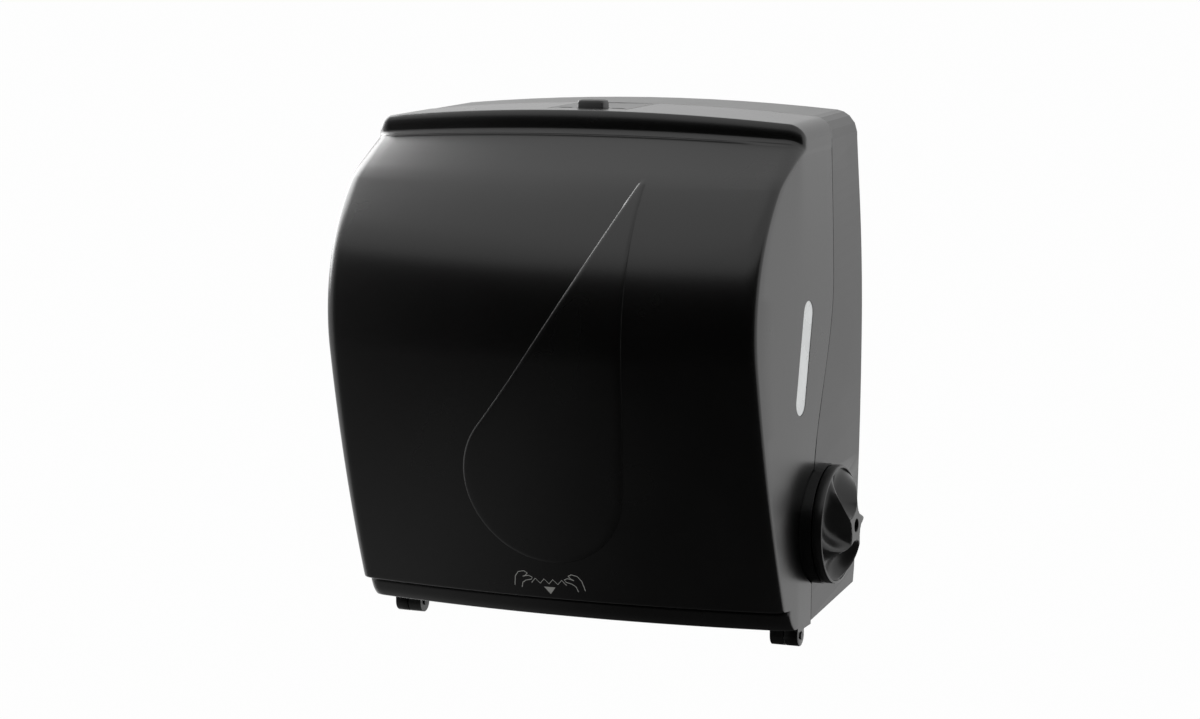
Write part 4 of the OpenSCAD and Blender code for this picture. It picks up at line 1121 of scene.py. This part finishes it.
    def catch(self) -> Mesh:
        """Ledge inside the cover that the latch holds.

        Returns:
            The mesh.
        """
        low = self.form.top - self.form.top_fall * self.latch_d - self.guide_h + self.catch_up
        ledge = rounded_box((-self.catch_hw, -self.catch_front, low),
                            (self.catch_hw, -self.catch_rear, low + self.catch_t), self.catch_r)
        return Sheets().add(ledge, wrap_v=True).mesh("cover_catch")

    def on_skirt(self, drawn: Array) -> Array:
        """Lays points of the sign's drawing just before the skirt's skin, whose front is a parabola across.

        Args:
            drawn: Places across and up from the sign's middle, as (..., 2).

        Returns:
            Points as (..., 3).
        """
        f = self.form
        x, z = drawn[..., 0] + self.sign_x, drawn[..., 1] + self.sign_z
        d = f.skirt_depth(z)
        flat = f.half_width(d, z) - self.sign_inset
        return np.stack([x, -(d + f.front_bow * (1.0 - (x / flat) ** 2) + self.ink_lift), z], axis=-1)

    def sign(self) -> Mesh:
        """Pull sign of plain strokes: two hands on a toothed edge and an arrow, laid on the skirt.

        Each stroke is a line widened to both sides of its direction; the arrow is a fan from its tip.

        Returns:
            The mesh.
        """
        hand = [
            [(27.0, -6.2), (25.4, 1.0), (22.6, 4.6), (18.2, 5.6), (15.6, 4.2)],
            [(15.6, 4.2), (17.4, 2.2), (19.6, 1.2)],
            [(19.6, 1.2), (15.0, 2.4), (12.2, 1.2), (13.4, -0.6), (17.6, -1.6), (20.4, -3.6), (21.6, -7.4)],
        ]
        teeth = [[(x, 0.6 if i % 2 else -3.0) for i, x in enumerate(np.linspace(-13.4, 13.4, 9).tolist())]]
        sheets = Sheets()
        mirrored = [[(-x, z) for x, z in stroke] for stroke in hand]
        for stroke in hand + mirrored + teeth:
            p = np.array(stroke)
            step = unit(np.gradient(p, axis=0))
            side = np.column_stack([-step[:, 1], step[:, 0]]) * self.stroke_w / 2
            sheets.add(self.on_skirt(np.stack([p - side, p + side], axis=1)))
        arrow = np.array([[(-4.4, -5.4), (4.4, -5.4)], [(-0.02, -10.8), (0.02, -10.8)]])
        sheets.add(self.on_skirt(arrow))
        return sheets.mesh("pull_sign", merge=self.sign_merge)

    def build(self) -> None:
        """Makes the cover's pieces."""
        shell = settle("cover_shell", self.shell(), Finish.COVER, "cover", self.crease)
        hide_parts("front_cover")
        for name, mesh in (("cover_lugs", self.lugs()), ("cover_catch", self.catch())):
            settle(name, mesh, Finish.COVER, "cover")
        settle("pull_sign", self.sign(), Finish.INK, "cover")


@dataclass(frozen=True)
class Coil:
    """Wound spring: an open coil along +Z with a straight or looped end on each side."""

    name: str
    node: str
    wire_r: float
    coil_r: float
    turns: int
    start: float
    low: float
    high: float
    before: Triple
    after: Triple
    eye_r: float = 0.0
    span: float = 0.0
    eye_angles: Pair = (-240.0, -30.0)
    per_turn: int = 24
    crease: float = 60.0

    def path(self) -> Array:
        """Centre line: a helix, with an eye round each pin where the spring is hooked, and a run at each end.

        Returns:
            Points as (n, 3).
        """
        t = np.linspace(0.0, 1.0, self.turns * self.per_turn + 1)
        a = math.radians(self.start) + 2.0 * math.pi * self.turns * t
        rise = self.low + (self.high - self.low) * t
        runs = [np.column_stack([self.coil_r * np.cos(a), self.coil_r * np.sin(a), rise])]
        if self.eye_r:
            b = np.radians(np.linspace(*self.eye_angles, self.per_turn))
            zero = np.zeros_like(b)
            runs.insert(0, np.column_stack([zero, self.eye_r * np.sin(b), self.eye_r * np.cos(b)]))
            c = b[::-1]
            runs.append(np.column_stack([zero, -self.eye_r * np.sin(c), self.span - self.eye_r * np.cos(c)]))
        line = np.vstack(runs)
        return np.vstack([line[:1] + self.before, line, line[-1:] + self.after])

    def build(self, origin: Triple, lean: float = 0.0,
              body: Optional[str] = "casing") -> Piece:
        """Makes the spring as a round wire carried along its path, closed at both ends.

        Args:
            origin: Place of its lower end.
            lean: Turn about X, in degrees.
            body: Body that it rides on, or none.

        Returns:
            The piece.
        """
        p = self.path()
        turn = math.radians(lean)
        spin = np.array([[1, 0, 0], [0, math.cos(turn), -math.sin(turn)], [0, math.sin(turn), math.cos(turn)]])
        p = p @ spin.T + np.array(origin)
        ahead = unit(np.gradient(p, axis=0))
        first = unit(np.cross(ahead, np.array([0.5, 0.3, 0.81])))
        second = np.cross(ahead, first)
        a = once_round(10)[:, None, None]
        ring = (p + self.wire_r * (np.cos(a) * first + np.sin(a) * second)).transpose(1, 0, 2)
        ends = np.broadcast_to(p[[0, -1], None, :], (2, len(a), 3))
        tube = np.concatenate([ends[:1], ring, ends[1:]])
        mesh = Sheets().add(tube, wrap_v=True).mesh(self.name)
        piece = settle(self.name, mesh, Finish.WIRE, body, self.crease)
        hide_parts(self.node)
        return piece


@dataclass(frozen=True)
class Springs:
    """The three springs: drum return, right roll arm and latch."""

    drum_d: float = 84.8
    drum_z: float = -110.8
    crank_r: float = 24.0
    post_d: float = 22.0
    post_z: float = -58.0
    spring_x: float = -136.0
    arm_x: float = 118.0
    arm_d: float = 13.0
    arm_z: float = 55.0
    latch_d: float = 111.0
    latch_low: float = 151.448
    latch_free: float = 9.0
    hook: float = 1.4
    hook_a: float = 30.0
    eye_r: float = 4.0
    eye_run: float = 7.0
    bend_from: float = 3.0
    bend_to: float = 7.0
    end_gap: float = 0.8

    def build(self) -> None:
        """Makes the springs."""
        a = math.atan2(self.post_z - self.drum_z, self.post_d - self.drum_d)
        pin = (self.drum_d + self.crank_r * math.cos(a), self.drum_z + self.crank_r * math.sin(a))
        span = math.hypot(self.post_d - pin[0], self.post_z - pin[1])
        tip = math.radians(self.hook_a)
        end = (0.0, self.hook * math.sin(tip), self.hook * math.cos(tip))
        drum = Coil("return_spring", "drum_spring", wire_r=0.7, coil_r=4.6, turns=16, start=90.0, low=self.eye_run,
                    high=span - self.eye_run, before=end, after=tuple(-v for v in end), eye_r=self.eye_r, span=span)
        lean = -math.degrees(math.atan2(pin[0] - self.post_d, self.post_z - pin[1]))
        drum.build((self.spring_x, -pin[0], pin[1]), lean)
        arm = Coil("arm_torsion_spring", "arm_spring", wire_r=0.8, coil_r=4.9, turns=4, start=180.0, low=1.1,
                   high=11.2, before=(0.0, 7.9, 0.0), after=(0.0, -12.0, 0.0))
        piece = arm.build((self.arm_x, -self.arm_d, self.arm_z), body=None)
        bend = [(self.arm_x * MM, -(self.arm_d + reach) * MM, self.arm_z * MM)
                for reach in (self.bend_from, self.bend_to)]
        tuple(bend[0])
        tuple(bend[1])
        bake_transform(piece)
        low = self.latch_low - self.latch_free
        latch = Coil("latch_return_spring", "latch_spring", wire_r=0.5, coil_r=3.5, turns=4, start=0.0,
                     low=self.end_gap, high=self.latch_free - self.end_gap, before=(0.0, -1.0, 0.0),
                     after=(0.0, 1.0, 0.0))
        piece = latch.build((0.0, -self.latch_d, low))
        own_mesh(piece)


@dataclass(frozen=True)
class Casing:
    """Back casing: a merged copy of its solid, its top fitted to the cover's, shaded smoothly."""

    form: BodyForm = BodyForm()
    crease: float = 12.0
    merge: float = 0.002
    even_weight: int = 100

    def build(self) -> None:
        """Makes the casing's body."""
        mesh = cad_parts["back_casing"].data.copy()
        weld(mesh, self.merge)
        points = np.empty(3 * len(mesh.vertices))
        mesh.vertices.foreach_get("co", points)
        raised = self.form.lifted(points.reshape(-1, 3) / MM) * MM
        mesh.vertices.foreach_set("co", raised.ravel())
        piece = settle("casing_body", mesh, Finish.CASING, "casing", self.crease)
        even = piece.modifiers.new("even_normals", "WEIGHTED_NORMAL")
        even.keep_sharp = True
        even.weight = self.even_weight
        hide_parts("back_casing")


@dataclass(frozen=True)
class Button:
    """Lock button: a block with rounded edges that stands out of the tongue."""

    width: float = 20.0
    round_r: float = 2.2
    taller: float = 2.6
    crease: float = 30.0

    def build(self) -> None:
        """Makes the button inside its solid's box, a little taller to stand out of the fitted top."""
        low, high = (np.array(corner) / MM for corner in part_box("lock_button"))
        inset = np.array([(high[0] - low[0] - self.width) / 2, 0.0, 0.0])
        cap = rounded_box(tuple(low + inset), tuple(high - inset + (0.0, 0.0, self.taller)), self.round_r)
        mesh = Sheets().add(cap, wrap_v=True).mesh("button_cap")
        piece = settle("button_cap", mesh, Finish.BUTTON, "lock", self.crease)
        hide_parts("lock_button")


@dataclass(frozen=True)
class Knob:
    """Feed knob: a rim and a dished face whose five swept ridges rise to a hub with a hole."""

    d: float = 84.8
    z: float = -110.8
    radius: float = 42.0
    rim_t: float = 7.2
    height: float = 19.5
    hub_r: float = 16.5
    hole_r: float = 4.6
    recess: float = 7.0
    bore_r: float = 2.2
    ridges: int = 5
    hub_a: float = 156.0
    swirl: float = -36.0
    scoop: float = 13.0
    blunt: float = 0.07
    face_in: float = 2.2
    sunk: float = 0.3
    swell: float = 2.0
    scoop_out: float = 0.8
    scoop_in: float = 5.7
    scoop_bend: float = 1.2
    bevel: float = 0.9
    back_r: float = 8.3
    back_h: float = 9.0
    rim_step: Triple = (1.7, 2.0, 0.2)
    hole_edge: Pair = (0.4, 0.5)
    crease: float = 30.0

    def mesh(self, x: float) -> Mesh:
        """Polar surface of radius and angle.

        Between two ridges the height falls below the ridges' line by a depth times a sine half wave, and is held
        under the hub's face. The depth grows from the rim inwards and lessens again at the hub. The ridges turn by
        the swirl from the hub to the rim.

        Args:
            x: Place of its back along the axis.

        Returns:
            The closed mesh.
        """
        rim_r, rim_t, e, knee = self.radius, self.rim_t, self.bevel, KNEE * self.bevel
        face_r = np.linspace(rim_r - self.face_in, self.hole_r + self.hole_edge[0], 44)
        u = (face_r - self.hub_r) / (rim_r - self.face_in - self.hub_r)
        line = rim_t - self.sunk + (self.height - rim_t + self.sunk) * (1.0 - u)
        crest = line + self.swell * np.sin(np.pi * np.clip(u, 0, 1))
        inward = np.clip((rim_r + self.scoop_out - face_r) / (rim_r - self.scoop_in), 0.0, 1.0)
        depth = self.scoop * np.sin(np.pi * inward) ** self.scoop_bend
        turn = once_round(self.ridges * 26)
        valley = np.sqrt(np.sin(0.5 * self.ridges * turn) ** 2 + self.blunt ** 2) - self.blunt
        face = np.minimum(self.height, crest[:, None] - depth[:, None] * valley)
        out, foot, down = self.rim_step
        rim = np.array([(self.back_r, 0.0), (rim_r - e, 0.0), (rim_r - knee, knee), (rim_r, e), (rim_r, rim_t - e),
                        (rim_r - knee, rim_t - knee), (rim_r - e, rim_t), (rim_r - out, rim_t),
                        (rim_r - foot, rim_t - down)])
        floor = self.height - self.recess
        hole = np.array([(self.hole_r, self.height - self.hole_edge[1]), (self.hole_r, floor), (self.bore_r, floor),
                         (self.bore_r, self.back_h), (self.back_r, self.back_h), (self.back_r, 0.0)])
        r = np.concatenate([rim[:, 0], face_r, hole[:, 0]])[:, None]
        level = np.vstack([np.repeat(rim[:, 1:], len(turn), 1), face, np.repeat(hole[:, 1:], len(turn), 1)])
        outward = np.clip((r - self.hub_r) / (rim_r - self.hub_r), 0, 1)
        a = np.radians(self.hub_a) + turn + np.radians(self.swirl) * outward
        grid = np.stack([x + level, -self.d + r * np.cos(a), self.z + r * np.sin(a)], axis=-1)
        return Sheets().add(grid, wrap_v=True).mesh("knob_body")

    def build(self) -> None:
        """Makes the knob."""
        low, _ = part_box("feed_knob")
        piece = settle("knob_body", self.mesh(low[0] / MM), Finish.KNOB, "drum", self.crease)
        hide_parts("feed_knob")


@dataclass(frozen=True)
class Mechanism:
    """Pieces whose solids stay: each gets its finish."""

    def dress(self) -> None:
        """Assigns the finishes to the nodes' material slots."""
        finishes = {
            Finish.FRAME_GREY: ("cheek_left", "cheek_right", "paper_guide", "roll_arm_left", "roll_arm_right",
                                "latch_guide", "latch_slider"),
            Finish.DRUM_GREY: ("drum_shell_front", "drum_shell_rear", "drum_cap_left", "drum_cap_right",
                               "blade_carrier", "crank_disc"),
            Finish.HUB_GREY: ("roll_hub_left", "roll_hub_right"),
            Finish.NATURAL: ("drum_bush_left", "drum_bush_right", "cam_track"),
            Finish.RUBBER: ("grip_bands", "pinch_sleeves"),
            Finish.ZINC: ("tie_rods", "spring_post", "arm_pivot_pin", "case_screws", "blade_pivots", "crank_pin",
                          "pinch_shaft"),
            Finish.BLACKENED: ("hinge_pins", "knob_screw"),
            Finish.BLADE: ("cutter_blade",),
            Finish.WINDOW: ("sight_window_left", "sight_window_right"),
        }
        for finish, nodes in finishes.items():
            paint = finish.paint()
            for node in nodes:
                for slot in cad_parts[node].material_slots:
                    slot.material = paint
                LOG.info("%s has %s", node, paint.name)


@dataclass(frozen=True)
class Studio:
    """Pale floor, pale room, soft lamps, a dark card before the front, and the camera."""

    floor_z: float = -0.42
    room: float = 0.86
    white_share: float = 0.95
    floor_w: float = 300.0
    card_r: float = 1790.0
    card_y: float = 400.0
    card_sweep: Pair = (-49.0, 70.0)
    card_rise: Pair = (-89.9, 22.3)
    card_gap: float = 10.0
    card_left: Pair = (-1.25, -0.25)
    card_floor: Pair = (-1.3, -0.1)
    card_clear: Pair = (-0.36, 0.02)
    side_tones: Pair = (0.1, 0.12)
    dark_tones: Pair = (0.004, 0.34)
    pale_tones: Pair = (0.86, 0.88)
    azimuth: float = 22.381
    elevation: float = 7.753
    distance: float = 2.0965
    target: Triple = (0.004843, -0.110, 0.000742)
    lens: float = 88.0
    sensor_w: float = 36.0
    far: float = 500.0

    def floor(self) -> None:
        """Floor: a wide flat grid, plain and pale."""
        u = np.linspace(-self.floor_w / 2, self.floor_w / 2, 9) / MM
        x, y = np.meshgrid(u, u, indexing="ij")
        mesh = Sheets().add(np.stack([x, y, np.full_like(x, self.floor_z / MM)], axis=-1)).mesh("studio_floor")
        shade = Shade("studio_pale")
        tone = shade.blend(shade.noise(shade.place(), 400.0), *map(grey, self.pale_tones))
        matt = shade.node("ShaderNodeBsdfDiffuse", {}, {"Color": tone})
        white = shade.node("ShaderNodeEmission", {}, {"Strength": 1.0})
        mixed = shade.node("ShaderNodeMixShader", {}, {0: shade.plain_view() * self.white_share, 1: matt, 2: white})
        shade.node("ShaderNodeOutputMaterial", {}, {"Surface": mixed})
        mesh.materials.append(shade.owner)
        floor = put("studio_floor", mesh)

    def card(self) -> None:
        """Dark card that only reflections see: part of a sphere before the front, flat and greyer over the floor."""
        a = np.radians(np.linspace(*self.card_sweep, 50))
        e = np.radians(np.linspace(*self.card_rise, 36))
        az, el = np.meshgrid(a, e, indexing="ij")
        r = self.card_r
        z = np.maximum(r * np.sin(el), self.floor_z / MM + self.card_gap)
        grid = np.stack([r * np.sin(az) * np.cos(el), self.card_y - r * np.cos(az) * np.cos(el), z], axis=-1)
        mesh = Sheets().add(grid).mesh("studio_card")
        shade = Shade("studio_black")
        at = shade.place()
        x, y = (shade.node("ShaderNodeSeparateXYZ", {}, {0: at}, axis) for axis in "XY")
        near = shade.ramp(y, *self.card_floor) * (1.0 - 0.8 * shade.ramp(x, *self.card_clear))
        side = shade.blend(shade.noise(at, 300.0), *map(grey, self.side_tones))
        dark = shade.blend(near, *map(grey, self.dark_tones))
        tone = shade.blend(shade.ramp(x, *self.card_left), side, dark)
        mesh.materials.append(shade.surface(Base_Color=tone, Roughness=1.0, Specular_IOR_Level=0.0))
        card = put("studio_card", mesh)
        for rays in ("camera", "diffuse", "transmission", "shadow", "volume_scatter"):
            setattr(card, "visible_" + rays, False)

    def lamp(self, name: str, place: Triple, size: float, power: float,
             gloss: bool = False) -> None:
        """Square soft lamp that faces the object.

        Args:
            name: Name of the lamp.
            place: Its place, in metres.
            size: Its side, in metres.
            power: Its power, in watts.
            gloss: Whether it shows only in reflections, as a panel for the glossy edges.
        """
        light = bpy.data.lights.new(name, "AREA")
        light.shape = "SQUARE"
        light.size = size
        light.energy = power
        lamp = put(name, light)
        lamp.location = place
        lamp.visible_diffuse = not gloss
        aim = Vector(self.target) - Vector(place)
        lamp.rotation_euler = aim.to_track_quat("-Z", "Y").to_euler()

    def build(self) -> None:
        """Makes the floor, the room's light, the lamps and the camera."""
        self.floor()
        self.card()
        world = bpy.data.worlds.new("room")
        shade = Shade(world)
        level = self.room + shade.plain_view() * (1.0 - self.room)
        light = shade.node("ShaderNodeBackground", {}, {"Color": (1.0, 1.0, 1.0, 1.0), "Strength": level})
        shade.node("ShaderNodeOutputWorld", {}, {"Surface": light})
        bpy.context.scene.world = world
        self.lamp("softbox_top", (-0.5, -0.7, 1.9), size=2.0, power=2.5)
        self.lamp("softbox_left", (-2.0, 0.5, 0.95), size=1.8, power=70.0, gloss=True)
        camera = put("camera", bpy.data.cameras.new("camera"))
        a, e = math.radians(self.azimuth), math.radians(self.elevation)
        back = Vector((math.sin(a) * math.cos(e), -math.cos(a) * math.cos(e), math.sin(e)))
        camera.location = Vector(self.target) + back * self.distance
        camera.rotation_euler = (-back).to_track_quat("-Z", "Y").to_euler()
        camera.data.lens = self.lens
        camera.data.sensor_width = self.sensor_w
        camera.data.clip_end = self.far
        bpy.context.scene.camera = camera
        bpy.context.scene.view_settings.view_transform = "Standard"


def main() -> None:
    """Builds the dispenser's pieces, its finishes and the studio."""
    logging.basicConfig(level=logging.INFO, format="%(message)s")
    Cover().build()
    Casing().build()
    Knob().build()
    Button().build()
    Springs().build()
    Mechanism().dress()
    Studio().build()


if __name__ == "__main__":
    main()
